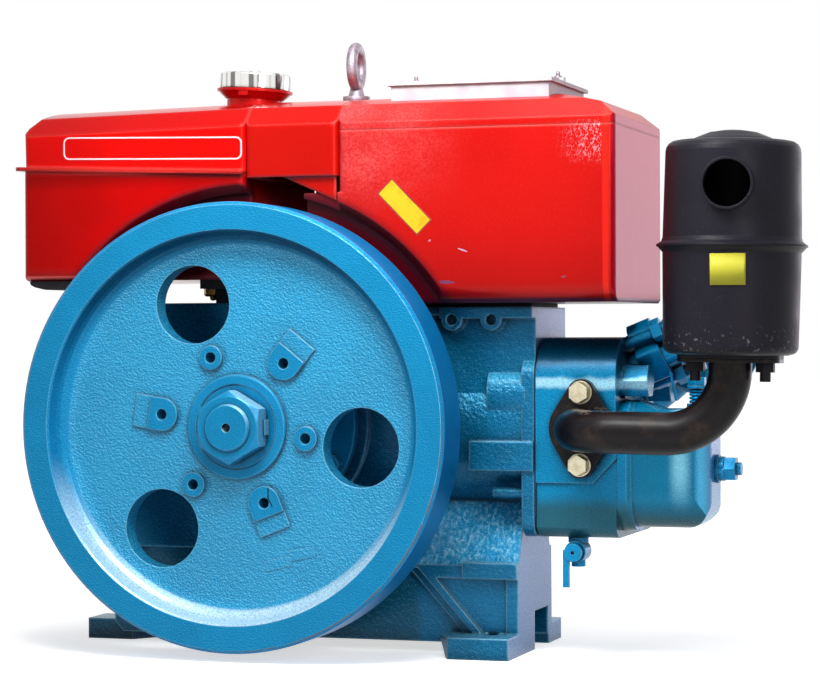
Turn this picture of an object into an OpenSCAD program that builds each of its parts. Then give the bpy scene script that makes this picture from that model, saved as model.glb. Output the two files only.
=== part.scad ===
// Single-cylinder horizontal diesel engine with a water hopper and a fuel tank.
// Origin: on the crankshaft axis, in the plane of the flywheel's pulley bosses.
// +X points to the cylinder head, -Y to the flywheel side, +Z up.

/* [Engine] */
// Height of the crankshaft axis above the floor
crank_h = 182; // [180:1:200]
// Distance from the pulley bosses to the cylinder's centre plane
cyl_y = 136; // [134:1:150]
// Distance from the crankshaft axis to the end of the cylinder block
block_end_x = 222; // [220:1:232]
// Half width of the cylinder block and head
block_half = 68; // [66:1:72]
// Height of the top deck above the crankshaft axis
deck_z = 93; // [90:1:98]

/* [Flywheel] */
// Outer radius of the flywheel
fly_r = 175; // [168:1:176]
// Width of the rim
rim_w = 46; // [42:1:48]
// Inner radius of the rim at its front edge
rim_in_r = 151.5; // [148:0.5:154]
// Depth of the web behind the rim's front edge
web_recess = 22; // [18:1:24]
// Thickness of the web
web_t = 18; // [14:1:20]
// Radius at which the web meets the fillet
web_fillet_r = 133; // [130:1:136]
// Radius of the three large holes
window_r = 30.8; // [26:0.2:32]
// Radius of the circle of the large holes
window_pcr = 102.7; // [100:0.1:105]
// Turn of the first large hole from +X
fly_turn = 8.6; // [0:0.1:30]
// Height of the pulley bosses over the web
boss_h = 4; // [3:0.5:6]
// Radius of a pulley boss
boss_r = 9.5; // [8.5:0.5:11]
// Radius of the circle of the pulley bosses
boss_pcr = 58; // [57:0.5:59]
// Radius of the tapped holes in the bosses and lugs
tap_r = 4.3; // [4:0.1:5]
// Radius of the circle of the lug holes
lug_pcr = 63.3; // [63:0.1:65]
// Width of a lug
lug_w = 26; // [24:1:28]
// Length of a lug outward of its hole
lug_len = 24; // [20:1:26]
// Radius of the hub
hub_r = 41; // [40:0.5:43]
// Depth of the hub behind the web
hub_back = 26; // [20:1:28]

/* [Crankshaft] */
// Radius of the shaft end in the flywheel
shaft_r = 18.5; // [17:0.5:20]
// Length of the shaft end in front of the rim
shaft_out = 3; // [1:0.5:6]
// Width across flats of the flywheel nut
nut_af = 50; // [46:1:52]
// Thickness of the flywheel nut
nut_t = 19; // [16:1:20]
// Thickness of the tab washer
washer_t = 2; // [1.5:0.5:3]
// Radius of the tab washer
washer_r = 32.5; // [31:0.5:34]
// Radius of the shaft's journal in the bearing cover
journal_r = 22; // [21:0.5:24]
// Radial running clearance of the journal
running_gap = 0.05; // [0.02:0.01:0.09]

/* [Crankcase] */
// Distance from the crankshaft axis to the left wall
case_left = 147; // [145:1:155]
// Half width of the crankcase's lower part
case_half = 52; // [50:1:56]
// Distance from the centre plane to the gear case joint
gear_joint = 74; // [72:1:78]
// Height of the sump's underside above the floor
sump_lift = 8; // [6:1:12]
// Outer face of the right feet from the crankshaft axis
foot_right = 204.6; // [200:0.2:212]
// Outer face of the left feet from the crankshaft axis
foot_left = 175.8; // [172:0.2:180]
// Thickness of the feet
foot_t = 17; // [14:1:20]
// Radius of the holes in the feet
foot_hole_r = 5.75; // [5:0.25:7]
// Distance of the right foot holes from the centre plane
foot_hole_y = 53; // [50:1:56]
// Distance from a foot's outer face to its hole
foot_hole_in = 21.6; // [18:0.2:24]
// Distance of the left foot holes from the crankshaft side, front and rear, from the middle of the left feet
left_hole_y = 35; // [30:1:38]

/* [Head] */
// Thickness of the cylinder head
head_t = 63.5; // [60:0.5:68]
// Thickness of the head gasket
head_gasket_t = 1.5; // [1:0.5:2]
// Height of the head above the cylinder axis
head_up = 69; // [66:1:72]
// Depth of the head below the cylinder axis
head_down = 87; // [84:1:90]
// Radius of the head's upper edges
head_edge_r = 34; // [28:1:36]
// Radius of the head's lower long edges
head_low_r = 16; // [8:1:22]
// Width of the rocker cover
cover_w = 62; // [58:1:70]
// Length of the rocker cover
cover_l = 60; // [52:1:66]
// Top of the rocker cover above the cylinder axis
cover_up = 13; // [10:1:18]
// Bottom of the rocker cover below the cylinder axis
cover_down = 79; // [74:1:82]
// Corner radius of the rocker cover
cover_r = 28; // [20:1:30]
// Thickness of the rocker cover's flange
cover_flange_t = 4; // [3:0.5:6]
// Thickness of the rocker housing between head and cover
housing_t = 8; // [6:0.5:10]

/* [Exhaust] */
// Distance of the exhaust port from the end of the block
port_in = 39; // [36:1:42]
// Height of the exhaust port from the cylinder axis
port_z = -1.5; // [-4:0.5:4]
// Lean of the exhaust pipe and silencer
exhaust_lean = 1; // [0:0.1:3]
// Outer radius of the exhaust pipe
pipe_r = 16; // [14:0.5:17]
// Wall of the exhaust pipe
pipe_wall = 2; // [1.5:0.5:3]
// Bend radius of the pipe at the port
bend_port = 40; // [34:1:44]
// Bend radius of the pipe below the silencer
bend_up = 48; // [40:1:54]
// Distance from the port to the silencer's axis
silencer_x = 126; // [118:0.5:130]
// Distance from the head's face to the silencer's axis
silencer_y = 61; // [58:1:66]
// Bottom of the silencer above the port
silencer_z = 60; // [56:1:66]
// Radius of the silencer at its seam
silencer_r = 51; // [46:1:53]
// Height of the silencer
silencer_h = 156.5; // [140:0.5:170]
// Radius of the seam ring round the silencer
seam_r = 55.5; // [54.5:0.5:58]
// Height of the seam above the silencer's bottom
seam_z = 82.6; // [70:0.2:88]
// Wall of the silencer
silencer_wall = 2; // [1.5:0.5:3]
// Outer radius of the outlet
outlet_r = 19; // [16:1:22]
// Length of the outlet in front of the silencer
outlet_l = 6; // [3:1:12]
// Height of the outlet above the silencer's bottom
outlet_z = 126; // [115:1:130]

/* [Hopper and tank] */
// Front face of the hopper and tank, in front of the centre plane
top_front = 108; // [104:1:112]
// Depth of the hopper and tank
top_depth = 169; // [160:1:176]
// Left side of the hopper from the crankshaft axis
hopper_left = 75; // [72:1:78]
// Right side of the hopper from the crankshaft axis
hopper_right = 296; // [290:1:302]
// Top of the hopper and tank above the crankshaft axis
roof_z = 252; // [248:1:258]
// Size of the bevel along the front of the roof
roof_bevel = 15; // [12:1:18]
// Size of the bevel along the rear of the roof
rear_bevel = 21; // [15:1:24]
// Thickness of the hopper's gasket
hopper_gasket_t = 3; // [2:0.5:4]
// Bottom of the hopper's outer skirt above the deck gasket
hopper_skirt = 15; // [10:1:18]
// Radius of the arch over the flywheel
arch_r = 191; // [188:1:194]
// Radius of the wall under the arch, behind its sloping edge
arch_inner_r = 184; // [181:1:187]
// Depth of the recess under the arch
arch_depth = 16; // [13:1:20]
// Wall of the hopper and tank
sheet_t = 2; // [1.5:0.5:3]
// Left end of the fuel tank from the crankshaft axis
tank_left = 196; // [186:1:200]
// Bottom of the fuel tank above the crankshaft axis
tank_bottom = 116; // [112:1:120]
// Height of the tank's seam above the crankshaft axis at its left end
seam_left = 207; // [200:1:210]
// Fall of the tank's seam from its left end to the bridge cover
seam_fall = 7; // [0:1:10]
// Fall of the tank's roof to its left end
roof_fall = 4; // [0:0.5:6]
// Width of the seam's lip
lip_w = 8; // [5:1:12]
// Thickness of the seam's lip
lip_t = 3; // [2:0.5:4]
// Right end of the fuel tank from the crankshaft axis
tank_right = -3; // [-8:1:0]

/* [Cap and eye] */
// Radius of the fuel cap
cap_r = 29; // [26:1:31]
// Height of the fuel cap
cap_h = 16; // [14:1:20]
// Radius of the filler neck
neck_r = 22.5; // [20:0.5:25]
// Height of the filler neck above the roof
neck_h = 12; // [10:1:20]
// Radius of the flange on the filler neck
neck_flange_r = 31; // [27:1:32]
// Tilt of the filler neck and the cap to the right
cap_tilt = 3.5; // [0:0.5:5]
// Place of the cap along X
cap_x = -27; // [-40:1:-30]
// Outer radius of the lifting eye
eye_r = 20; // [18:1:22]
// Radius of the lifting eye's bar
eye_bar = 4.5; // [4:0.5:6]
// Place of the lifting eye along X
eye_x = 62; // [55:1:66]

/* [Gear side] */
// Thickness of the gear case cover
gear_cover_t = 44; // [38:1:50]
// Length of the starting shaft behind its boss
start_out = 22; // [18:1:30]
// Radius of the starting shaft
start_r = 11; // [9:0.5:13]

/* [Hidden] */
$fn = 64;

// Small overlap that lets a cutting solid run past the face it cuts
past = 1;
// Main planes of the casting
floor_z = -crank_h;
rim_front = boss_h - web_recess;
rim_back = rim_front + rim_w;
web_back = boss_h + web_t;
hub_end = web_back + hub_back;
block_front = cyl_y - block_half;
block_rear = cyl_y + block_half;
case_front = cyl_y - case_half;
case_rear = cyl_y + case_half;
gear_y = cyl_y + gear_joint;
gear_back = gear_y + gear_cover_t;
sump_z = floor_z + sump_lift;
foot_top = floor_z + foot_t;
// Planes of the head, from the block outward
head_x0 = block_end_x + head_gasket_t;
head_x1 = head_x0 + head_t;
housing_x1 = head_x1 + housing_t;
cover_x0 = housing_x1 + cover_flange_t;
cover_x1 = cover_x0 + cover_l;
cover_y0 = block_front + 2;
cover_y1 = cover_y0 + cover_w;
cover_mid_y = (cover_y0 + cover_y1) / 2;
cover_mid_z = (cover_up - cover_down) / 2;
// Box of the hopper and tank
top_y0 = cyl_y - top_front;
top_y1 = top_y0 + top_depth;
top_mid_y = (top_y0 + top_y1) / 2;
hopper_z0 = deck_z + hopper_gasket_t;
shoulder_z = roof_z - roof_bevel;
// Rise of the crowned roof and the radius of its arc, and the radius of the upright corners
crown = 9;
top_corner = 6;
roof_y0 = top_y0 + roof_bevel;
roof_y1 = top_y1 - rear_bevel;
roof_mid_y = (roof_y0 + roof_y1) / 2;
crown_half = (roof_y1 - roof_y0) / 2;
crown_r = (crown_half * crown_half + crown * crown) / (2 * crown);
roof_peak = roof_z + crown;
rear_shoulder_z = roof_z - rear_bevel;
// Exhaust port on the head's front face
port_x = block_end_x + port_in;

// ---------- helpers ----------

// A profile drawn in X and Z, extruded from y0 to y1
module along_y(y0, y1) {
    translate([0, y1, 0])
        rotate([90, 0, 0])
            linear_extrude(y1 - y0)
                children();
}

// A profile drawn in Y and Z, extruded from x0 to x1
module along_x(x0, x1) {
    translate([x0, 0, 0])
        rotate([90, 0, 90])
            linear_extrude(x1 - x0)
                children();
}

// A rod along Y
module rod_y(x, z, r, y0, y1) {
    translate([x, y1, z])
        rotate([90, 0, 0])
            cylinder(r = r, h = y1 - y0);
}

// A rod along X
module rod_x(y, z, r, x0, x1) {
    translate([x0, y, z])
        rotate([0, 90, 0])
            cylinder(r = r, h = x1 - x0);
}

// A box from its low corner to its high corner
module box(a, b) {
    translate(a)
        cube(b - a);
}

// A rectangle with round corners, from a to b
module round_rect(a, b, r) {
    translate([a[0] + r, a[1]])
        square([b[0] - a[0] - 2 * r, b[1] - a[1]]);
    translate([a[0], a[1] + r])
        square([b[0] - a[0], b[1] - a[1] - 2 * r]);
    for (x = [a[0] + r, b[0] - r], y = [a[1] + r, b[1] - r])
        translate([x, y])
            circle(r);
}

// A hexagon head or nut along Z with a corner on +Y
module hex(af, h) {
    rotate([0, 0, 30])
        cylinder(d = af / cos(30), h = h, $fn = 6);
}

// Copies round the crankshaft axis, turned from +X towards +Z
module round_shaft(angles) {
    for (a = angles)
        rotate([0, -a, 0])
            children();
}

// ---------- flywheel and shaft ----------

window_angles = [for (i = [0:2]) 120 * i - fly_turn];
lug_angles = [for (a = window_angles) a + 60];
seat_r = journal_r - 2;
hub_bore_y = boss_h - 1;
rim_edge = 2.5;
fillet_steps = 6;

// Half section of the flywheel: radius and distance along the axis
module flywheel_section() {
    fillet_w = rim_in_r - web_fillet_r;
    rim_back_in = rim_in_r - 3;
    polygon(concat(
        [[seat_r, hub_bore_y], [washer_r + 0.8, hub_bore_y], [washer_r + 0.8, 0], [hub_r - 1, 0]],
        [[hub_r, 1], [hub_r, boss_h]],
        [for (i = [0:fillet_steps])
            let (a = 90 * i / fillet_steps)
            [web_fillet_r + fillet_w * sin(a), boss_h - fillet_w * (1 - cos(a)) * 0.75]],
        [[rim_in_r + 0.6, rim_front + 1.5], [rim_in_r + 2, rim_front]],
        [[fly_r - rim_edge, rim_front], [fly_r, rim_front + rim_edge]],
        [[fly_r, rim_back - rim_edge], [fly_r - rim_edge, rim_back]],
        [[rim_back_in, rim_back], [rim_back_in - 4, web_back], [hub_r + 6, web_back]],
        [[hub_r, web_back + 6], [hub_r, hub_end], [seat_r, hub_end]]
    ));
}

// A lug round its tapped hole, flat at its outer end
module lug_outline(grow) {
    translate([lug_pcr, 0])
        circle(lug_w / 2 + grow);
    translate([lug_pcr, -lug_w / 2 - grow])
        square([lug_len + grow, lug_w + 2 * grow]);
}

module flywheel() {
    lug_step = 11;
    color("steelblue")
    difference() {
        union() {
            rotate([-90, 0, 0])
                rotate_extrude($fn = 128)
                    flywheel_section();
            round_shaft(window_angles)
                rod_y(boss_pcr, 0, boss_r, 0, boss_h + past);
            round_shaft(lug_angles) {
                along_y(boss_h / 2, boss_h + past)
                    lug_outline(0);
                along_y(0, boss_h)
                    intersection() {
                        lug_outline(0);
                        translate([0, -lug_w / 2])
                            square([lug_pcr + lug_step, lug_w]);
                    }
            }
        }
        round_shaft(window_angles) {
            rod_y(window_pcr, 0, window_r, rim_front, rim_back);
            rod_y(boss_pcr, 0, tap_r, -past, web_back + past);
        }
        round_shaft(lug_angles)
            rod_y(lug_pcr, 0, tap_r, -past, web_back + past);
    }
}

shaft_end = rim_front - shaft_out;
cover_front = case_front - 20;

module crankshaft_end() {
    centre_hole = 3.5;
    color("slategray")
    rotate([-90, 0, 0])
        rotate_extrude()
            polygon([
                [0, shaft_end + 8], [centre_hole, shaft_end + 6], [centre_hole, shaft_end],
                [shaft_r - 1.5, shaft_end], [shaft_r, shaft_end + 1.5], [shaft_r, hub_bore_y],
                [seat_r, hub_bore_y], [seat_r, hub_end], [journal_r, hub_end],
                [journal_r, case_front + 20], [0, case_front + 20]
            ]);
}

module tab_washer() {
    tab_w = 12;
    tab_t = 1.6;
    color("slategray")
    difference() {
        union() {
            rod_y(0, 0, washer_r, hub_bore_y - washer_t, hub_bore_y);
            box([nut_af / 2 + 0.2, hub_bore_y - washer_t - 8, -tab_w / 2],
                [nut_af / 2 + 0.2 + tab_t, hub_bore_y - washer_t / 2, tab_w / 2]);
        }
        rod_y(0, 0, shaft_r, hub_bore_y - washer_t - past, hub_bore_y + past);
    }
}

module flywheel_nut() {
    nut_y = hub_bore_y - washer_t;
    color("slategray")
    difference() {
        intersection() {
            translate([0, nut_y, 0])
                rotate([90, 0, 0])
                    hex(nut_af, nut_t);
            rotate([90, 0, 0])
                rotate_extrude()
                    polygon([
                        [0, -nut_y], [nut_af / 2 + 2.5, -nut_y], [nut_af / 2 + 4, 2 - nut_y],
                        [nut_af / 2 + 4, nut_t - 3 - nut_y], [nut_af / 2 - 1, nut_t - nut_y],
                        [0, nut_t - nut_y]
                    ]);
        }
        rod_y(0, 0, shaft_r, nut_y - nut_t - past, nut_y + past);
    }
}

// ---------- crankcase ----------

block_x0 = 118;
ledge_z = -102;
case_top_z = deck_z + 5;
plate_top = -111;
pad_low = -121.5;
barrel_r = block_half - 1;

// Outline of the crank chamber in X and Z
module chamber_outline() {
    polygon([
        [-case_left, -128], [-case_left, 55], [-case_left + 38, case_top_z], [-8, case_top_z],
        [0, deck_z], [block_x0 + 8, deck_z], [block_x0 + 8, ledge_z], [-case_left + 26, ledge_z]
    ]);
}

// Outline of the sump in X and Z, from the ledge to its underside
module sump_outline(right) {
    polygon([
        [-case_left, -128], [-case_left + 26, ledge_z], [right, ledge_z],
        [right, sump_z], [-case_left + 8, sump_z], [-case_left, sump_z + 8]
    ]);
}

// The water jacket reaches less far behind the cylinder than in front of it
jacket_half = 62;
jacket_rear = cyl_y + 32;

// Barrel and water jacket of the cylinder in Y and Z
module block_outline() {
    translate([cyl_y, 0])
        circle(barrel_r);
    translate([cyl_y - jacket_half, 0])
        square([jacket_half + jacket_rear - cyl_y, deck_z]);
}

// Shoulder from the barrel down to the pedestal, in Y and Z
module shoulder_outline() {
    polygon([
        [case_front + 1, plate_top - 3], [case_front + 1, plate_top], [case_front + 22, -62], [cyl_y, -50],
        [case_rear - 22, -62], [case_rear - 1, plate_top], [case_rear - 1, plate_top - 3]
    ]);
}

// Pedestal between the barrel and the right feet, in X and Z, with its slanting left edge
module pedestal_outline(out) {
    polygon([
        [119 - out, plate_top], [foot_right, plate_top], [foot_right, foot_top - past],
        [168 - out, foot_top - past], [157.5 - out, -154]
    ]);
}

// Shallow panel in the pedestal's faces, in X and Z
module panel_outline() {
    polygon([
        [137, pad_low], [foot_right - 10, pad_low], [foot_right - 10, foot_top], [175, foot_top],
        [163.5, -152]
    ]);
}

// A lobed flange along the deck's front edge, in X and Z
module deck_flange_outline() {
    lobe_r = 8.5;
    translate([147, deck_z - 9])
        square([block_end_x - 147, 9]);
    for (x = [157, 189])
        translate([x, deck_z - 10])
            circle(lobe_r);
}

// Outline of a right foot in X and Y; side is -1 in front and 1 behind
module right_foot_outline(side, inner, outer) {
    polygon([for (p = [[foot_right, inner], [foot_right, outer], [foot_right - 49, outer],
                       [foot_right - 60, outer - 16], [foot_right - 60, inner]])
        [p[0], cyl_y + side * p[1]]]);
}

module foot_holes() {
    for (s = [-1, 1]) {
        translate([foot_right - foot_hole_in, cyl_y + s * foot_hole_y, floor_z - past])
            cylinder(r = foot_hole_r, h = foot_t + 2 * past);
        translate([foot_hole_in - foot_left, left_mid_y + s * left_hole_y, floor_z - past])
            cylinder(r = foot_hole_r, h = foot_t + 2 * past);
    }
}

left_mid_y = cyl_y + 26;
left_half = 54;

module feet() {
    right_reach = 83;
    intersection() {
        translate([0, 0, floor_z])
            linear_extrude(foot_t) {
                right_foot_outline(-1, 0, right_reach);
                right_foot_outline(1, 42, right_reach);
            }
        along_y(case_front - right_reach, case_rear + right_reach)
            polygon([
                [foot_right + past, floor_z - past], [foot_right + past, foot_top + past],
                [foot_right - 61, foot_top + past], [foot_right - 51, floor_z - past]
            ]);
    }
    translate([0, 0, floor_z])
        linear_extrude(foot_t)
            for (s = [-1, 1])
                polygon([for (p = [[-foot_left, 18], [-foot_left, left_half], [-foot_left + 40, left_half],
                                   [-foot_left + 58, left_half - 24], [-foot_left + 58, 18]])
                    [p[0], left_mid_y + s * p[1]]]);
}

module crankcase() {
    pad_front = block_front - 3;
    sump_y = case_front + 14;
    panel_t = 3;
    notch_top = -151;
    color("steelblue")
    difference() {
        union() {
            along_y(case_front, gear_y)
                chamber_outline();
            along_y(sump_y, gear_y)
                sump_outline(block_x0 + 20);
            along_y(sump_y, case_rear)
                sump_outline(foot_right);
            along_y(case_front, case_rear)
                pedestal_outline(0);
            along_y(case_front + 7, case_rear - 7)
                pedestal_outline(10);
            along_x(block_x0, foot_right)
                shoulder_outline();
            along_x(block_x0, block_end_x)
                block_outline();
            along_x(block_end_x - 10, block_end_x)
                round_rect([block_front, -head_down], [block_rear, 54], head_low_r);
            along_y(block_front - 5, block_front + 10)
                deck_flange_outline();
            box([block_x0, block_front - 2, deck_z - 6], [block_end_x, jacket_rear, deck_z]);
            box([170, pad_front, -35], [block_end_x, block_front + 20, -12]);
            rod_x(block_front + 24, 24, 25, 184, block_end_x - 7);
            box([159.5, case_front - 4, pad_low], [foot_right, case_front + 4, pad_low + 13]);
            rod_x(case_front - 3, -53, 4.5, 186, block_end_x - 8);
            rod_y(0, 0, 82, case_front - 4, case_front + past);
            feet();
        }
        along_y(case_front - past, case_front + panel_t)
            panel_outline();
        along_y(case_rear - panel_t, case_rear + past)
            panel_outline();
        box([foot_right - 34, cyl_y - 2, floor_z - past], [foot_right + past, cyl_y + 40, notch_top]);
        for (x = [157, 189])
            rod_y(x, deck_z - 10, 4.2, block_front - 5 - past, block_front + 6);
        rod_y(0, 0, journal_r + 2, case_front - 4 - past, case_front + 26);
        foot_holes();
    }
}

module bearing_cover() {
    flange_r = 74;
    nose_r = 48;
    bolt_pcr = 63;
    face = case_front - 4;
    color("steelblue")
    difference() {
        union() {
            rod_y(0, 0, flange_r, face - 10, face);
            rod_y(0, 0, nose_r, face - 16, face - 9);
            for (a = [30:60:330])
                round_shaft([a])
                    translate([bolt_pcr, face - 9, 0])
                        rotate([90, 0, 0])
                            hex(14, 8);
        }
        rod_y(0, 0, journal_r + running_gap, face - 16 - past, face + past);
    }
}

module end_cover() {
    t = 8;
    color("steelblue") {
        along_x(-case_left - t, -case_left)
            round_rect([case_front + 14, -110], [gear_y - 14, 40], 16);
        for (y = [case_front + 24, gear_y - 24], z = [-100, -35, 30])
            rod_x(y, z, 7, -case_left - t - 5, -case_left - t);
    }
}

// Outline of the gear case in X and Z: crank gear, cam gear and governor
module gear_outline(grow) {
    circle(84 + grow);
    translate([92, 24])
        circle(64 + grow);
    translate([0, -60 - grow])
        square([92, 144 + 2 * grow]);
    translate([-70, 30])
        circle(44 + grow);
    translate([-70, 0])
        square([80, 74 + grow]);
}

cam_x = 92;
cam_z = 24;

module gear_case_cover() {
    flange_t = 9;
    color("steelblue")
    difference() {
        union() {
            along_y(gear_y, gear_y + flange_t)
                gear_outline(8);
            along_y(gear_y + flange_t - past, gear_back)
                gear_outline(0);
            rod_y(cam_x, cam_z, 26, gear_back - past, gear_back + 16);
            rod_y(0, 0, 40, gear_back - past, gear_back + 5);
        }
        rod_y(cam_x, cam_z, start_r, gear_back - 10, gear_back + 16 + past);
    }
}

module starting_shaft() {
    back = gear_back + 16 + start_out;
    color("slategray") {
        rod_y(cam_x, cam_z, start_r, gear_back - 10, back);
        translate([cam_x, back - 8, cam_z - 17])
            cylinder(r = 3.5, h = 34);
    }
}

// ---------- cylinder head ----------

// Outline of the head in Y and Z, round at its upper edges
module head_outline() {
    intersection() {
        round_rect([block_front, -head_down], [block_rear, head_up + head_edge_r], head_low_r);
        union() {
            translate([block_front, -head_down])
                square([2 * block_half, head_down + head_up - head_edge_r]);
            for (y = [block_front + head_edge_r, block_rear - head_edge_r])
                translate([y, head_up - head_edge_r])
                    circle(head_edge_r);
            translate([block_front + head_edge_r, -head_down])
                square([2 * (block_half - head_edge_r), head_down + head_up]);
        }
    }
}

module head_gasket() {
    color("dimgray")
    along_x(block_end_x, head_x0)
        round_rect([block_front + 1, -head_down + 4], [block_rear - 1, 53], head_low_r);
}

// Places of the head's stud nuts in Y and Z
stud_spots = [[block_front + 26, 35], [block_rear - 26, 29], [block_rear - 26, -62]];

module cylinder_head() {
    face_up = 35;
    face_down = 44;
    step = 2;
    color("steelblue")
    difference() {
        union() {
            along_x(head_x0, head_x1)
                head_outline();
            along_x(head_x1 - past, housing_x1)
                housing_outline();
            for (s = stud_spots)
                rod_x(s[0], s[1], 14, head_x1 - past, head_x1 + 3);
            for (s = stud_spots)
                translate([head_x1 + 2, s[0], s[1]])
                    rotate([0, 90, 0])
                        hex(24, 20);
        }
        along_y(block_front - past, block_front + step)
            polygon([
                [head_x0 - past, -face_down], [head_x1 - 18, -face_down], [head_x1 + past, -face_down + 20],
                [head_x1 + past, -head_down - past], [head_x0 - past, -head_down - past]
            ]);
        on_port()
            for (z = [-bolt_pitch / 2, bolt_pitch / 2])
                rod_y(0, z, bolt_r, -past, bolt_hole);
        on_port()
            rod_y(0, 0, pipe_r - pipe_wall, -past, 20);
        rod_x(injector_y, injector_z, 4, head_x1 - 6, head_x1 - 5);
    }
}

// Rise of the housing over the cover's top, and the length over which the cover falls to it
housing_rise = 7;
cover_fall_l = 18;

// Outline of the rocker housing and the cover's flange in Y and Z
module housing_outline() {
    round_rect([cover_y0 - 1, -cover_down - 3], [cover_y1 + 3, cover_up + housing_rise], cover_r);
}

// Outline of the cover in X and Z, round at its lower end
module cover_side_outline() {
    low_r = 22;
    top_r = 8;
    polygon([
        [cover_x0 - past, -cover_down], [cover_x1 - low_r, -cover_down], [cover_x1 - low_r, cover_up],
        [cover_x0 + cover_fall_l, cover_up], [cover_x0, cover_up + housing_rise],
        [cover_x0 - past, cover_up + housing_rise]
    ]);
    translate([cover_x1 - low_r, -cover_down + low_r]) {
        circle(low_r);
        translate([-past, 0])
            square([low_r + past, cover_up + cover_down - low_r - top_r]);
    }
    translate([cover_x1 - top_r, cover_up - top_r])
        circle(top_r);
    translate([cover_x1 - low_r - past, cover_up - top_r - past])
        square([low_r + past - top_r, top_r + past]);
}

module rocker_cover() {
    end_r = 14;
    color("steelblue") {
        along_x(housing_x1, cover_x0)
            housing_outline();
        intersection() {
            along_x(cover_x0 - past / 2, cover_x1)
                round_rect([cover_y0, -cover_down], [cover_y1, cover_up + housing_rise], cover_r);
            along_y(cover_y0, cover_y1)
                cover_side_outline();
            along_z(-cover_down, cover_up + housing_rise)
                round_rect([cover_x0 - 2 * end_r, cover_y0], [cover_x1, cover_y1], end_r);
        }
    }
}

// A profile drawn in X and Y, extruded from z0 to z1
module along_z(z0, z1) {
    translate([0, 0, z0])
        linear_extrude(z1 - z0)
            children();
}

module rocker_cover_bolt() {
    color("steelblue") {
        rod_x(cover_mid_y, cover_mid_z, 11, cover_x1, cover_x1 + 3);
        rod_x(cover_mid_y, cover_mid_z, 9.5, cover_x1 + 2, cover_x1 + 7);
        translate([cover_x1 + 6, cover_mid_y, cover_mid_z])
            rotate([0, 90, 0])
                hex(17, 10);
        rod_x(cover_mid_y, cover_mid_z, 5, cover_x1 + 15, cover_x1 + 20);
    }
}

// ---------- injector and fuel ----------

injector_y = cyl_y - 16;
injector_z = 45;
injector_tilt = 22;
injector_roll = 35;
injector_r = 12;

// Places children on the injector's seat, with +Z along the injector, outward
module on_injector() {
    translate([head_x1, injector_y, injector_z])
        rotate([0, 90 - injector_tilt, 0])
            rotate([0, 0, injector_roll])
                children();
}

module injector() {
    color("steelblue")
    difference() {
        on_injector() {
            translate([0, 0, -10])
                cylinder(r = injector_r, h = 60);
            translate([0, 0, 49])
                hex(19, 14);
            translate([0, 0, 62])
                cylinder(r = 6, h = 18);
        }
        box([head_x1 - 40, injector_y - 30, injector_z - 40], [head_x1, injector_y + 30, injector_z + 40]);
    }
}

clamp_at = 11;
clamp_t = 19;
stud_off = 22;
clamp_stud_r = 5;

// A block round the injector, with an open ear round each stud
module injector_clamp() {
    block_half = 15;
    color("steelblue")
    on_injector()
        difference() {
            translate([0, 0, clamp_at])
                linear_extrude(clamp_t) {
                    round_rect([-block_half, -13], [block_half, 13], 3);
                    round_rect([-stud_off - 8, -2], [stud_off + 8, 13], 5);
                }
            translate([0, 0, clamp_at - past])
                cylinder(r = injector_r, h = clamp_t + 2 * past);
            for (s = [-1, 1])
                translate([s * stud_off, 0, clamp_at - past])
                    cylinder(r = clamp_stud_r, h = clamp_t + 2 * past);
        }
}

module injector_studs() {
    color("steelblue")
    difference() {
        on_injector()
            for (s = [-1, 1])
                translate([s * stud_off, 0, 0]) {
                    translate([0, 0, -20])
                        cylinder(r = clamp_stud_r, h = 74);
                    translate([0, 0, clamp_at + clamp_t])
                        hex(16, 8);
                }
        box([head_x1 - 60, injector_y - 30, injector_z - 80], [head_x1, injector_y + 30, injector_z + 80]);
    }
}

pump_x = 192;
pump_y = block_rear + 24;
// The fuel pipe runs behind the head, between it and the air cleaner
fuel_pipe_r = 3;
fuel_pipe_y = block_rear + 10;

module injection_pump() {
    color("steelblue") {
        translate([pump_x, pump_y, -20])
            cylinder(r = 19, h = 40);
        translate([pump_x, pump_y, 20])
            cylinder(r = 15, h = 20);
        translate([pump_x, pump_y, 40])
            hex(17, 12);
        box([pump_x - 20, block_rear + 2, -4], [pump_x + 20, pump_y - 15, 28]);
    }
}

// Point at t of a curve through p1 and p2, with p0 and p3 on either side
function curve_point(p0, p1, p2, p3, t) =
    0.5 * (2 * p1 + (p2 - p0) * t + (2 * p0 - 5 * p1 + 4 * p2 - p3) * t * t
        + (3 * p1 - p0 - 3 * p2 + p3) * t * t * t);

// A smooth path through all the points, with n steps between two points
function smooth_path(pts, n) =
    let (last = len(pts) - 1)
    concat([for (i = [0:last - 1], k = [0:n - 1])
        curve_point(pts[max(i - 1, 0)], pts[i], pts[i + 1], pts[min(i + 2, last)], k / n)], [pts[last]]);

function unit(v) = v / norm(v);

// A round pipe swept along a path as one polyhedron
module swept_pipe(path, r, sides) {
    last = len(path) - 1;
    dirs = [for (i = [0:last]) unit(path[min(i + 1, last)] - path[max(i - 1, 0)])];
    ref = [0.31, 0.22, 0.92];
    rings = [for (i = [0:last])
        let (u = unit(cross(dirs[i], ref)), w = cross(dirs[i], u))
        for (k = [0:sides - 1])
            path[i] + r * (cos(360 * k / sides) * u + sin(360 * k / sides) * w)];
    polyhedron(
        points = rings,
        faces = concat(
            [[for (k = [sides - 1:-1:0]) k]],
            [for (i = [0:last - 1], k = [0:sides - 1])
                let (n = (k + 1) % sides)
                [i * sides + k, i * sides + n, (i + 1) * sides + n, (i + 1) * sides + k]],
            [[for (k = [0:sides - 1]) last * sides + k]]
        )
    );
}

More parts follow.
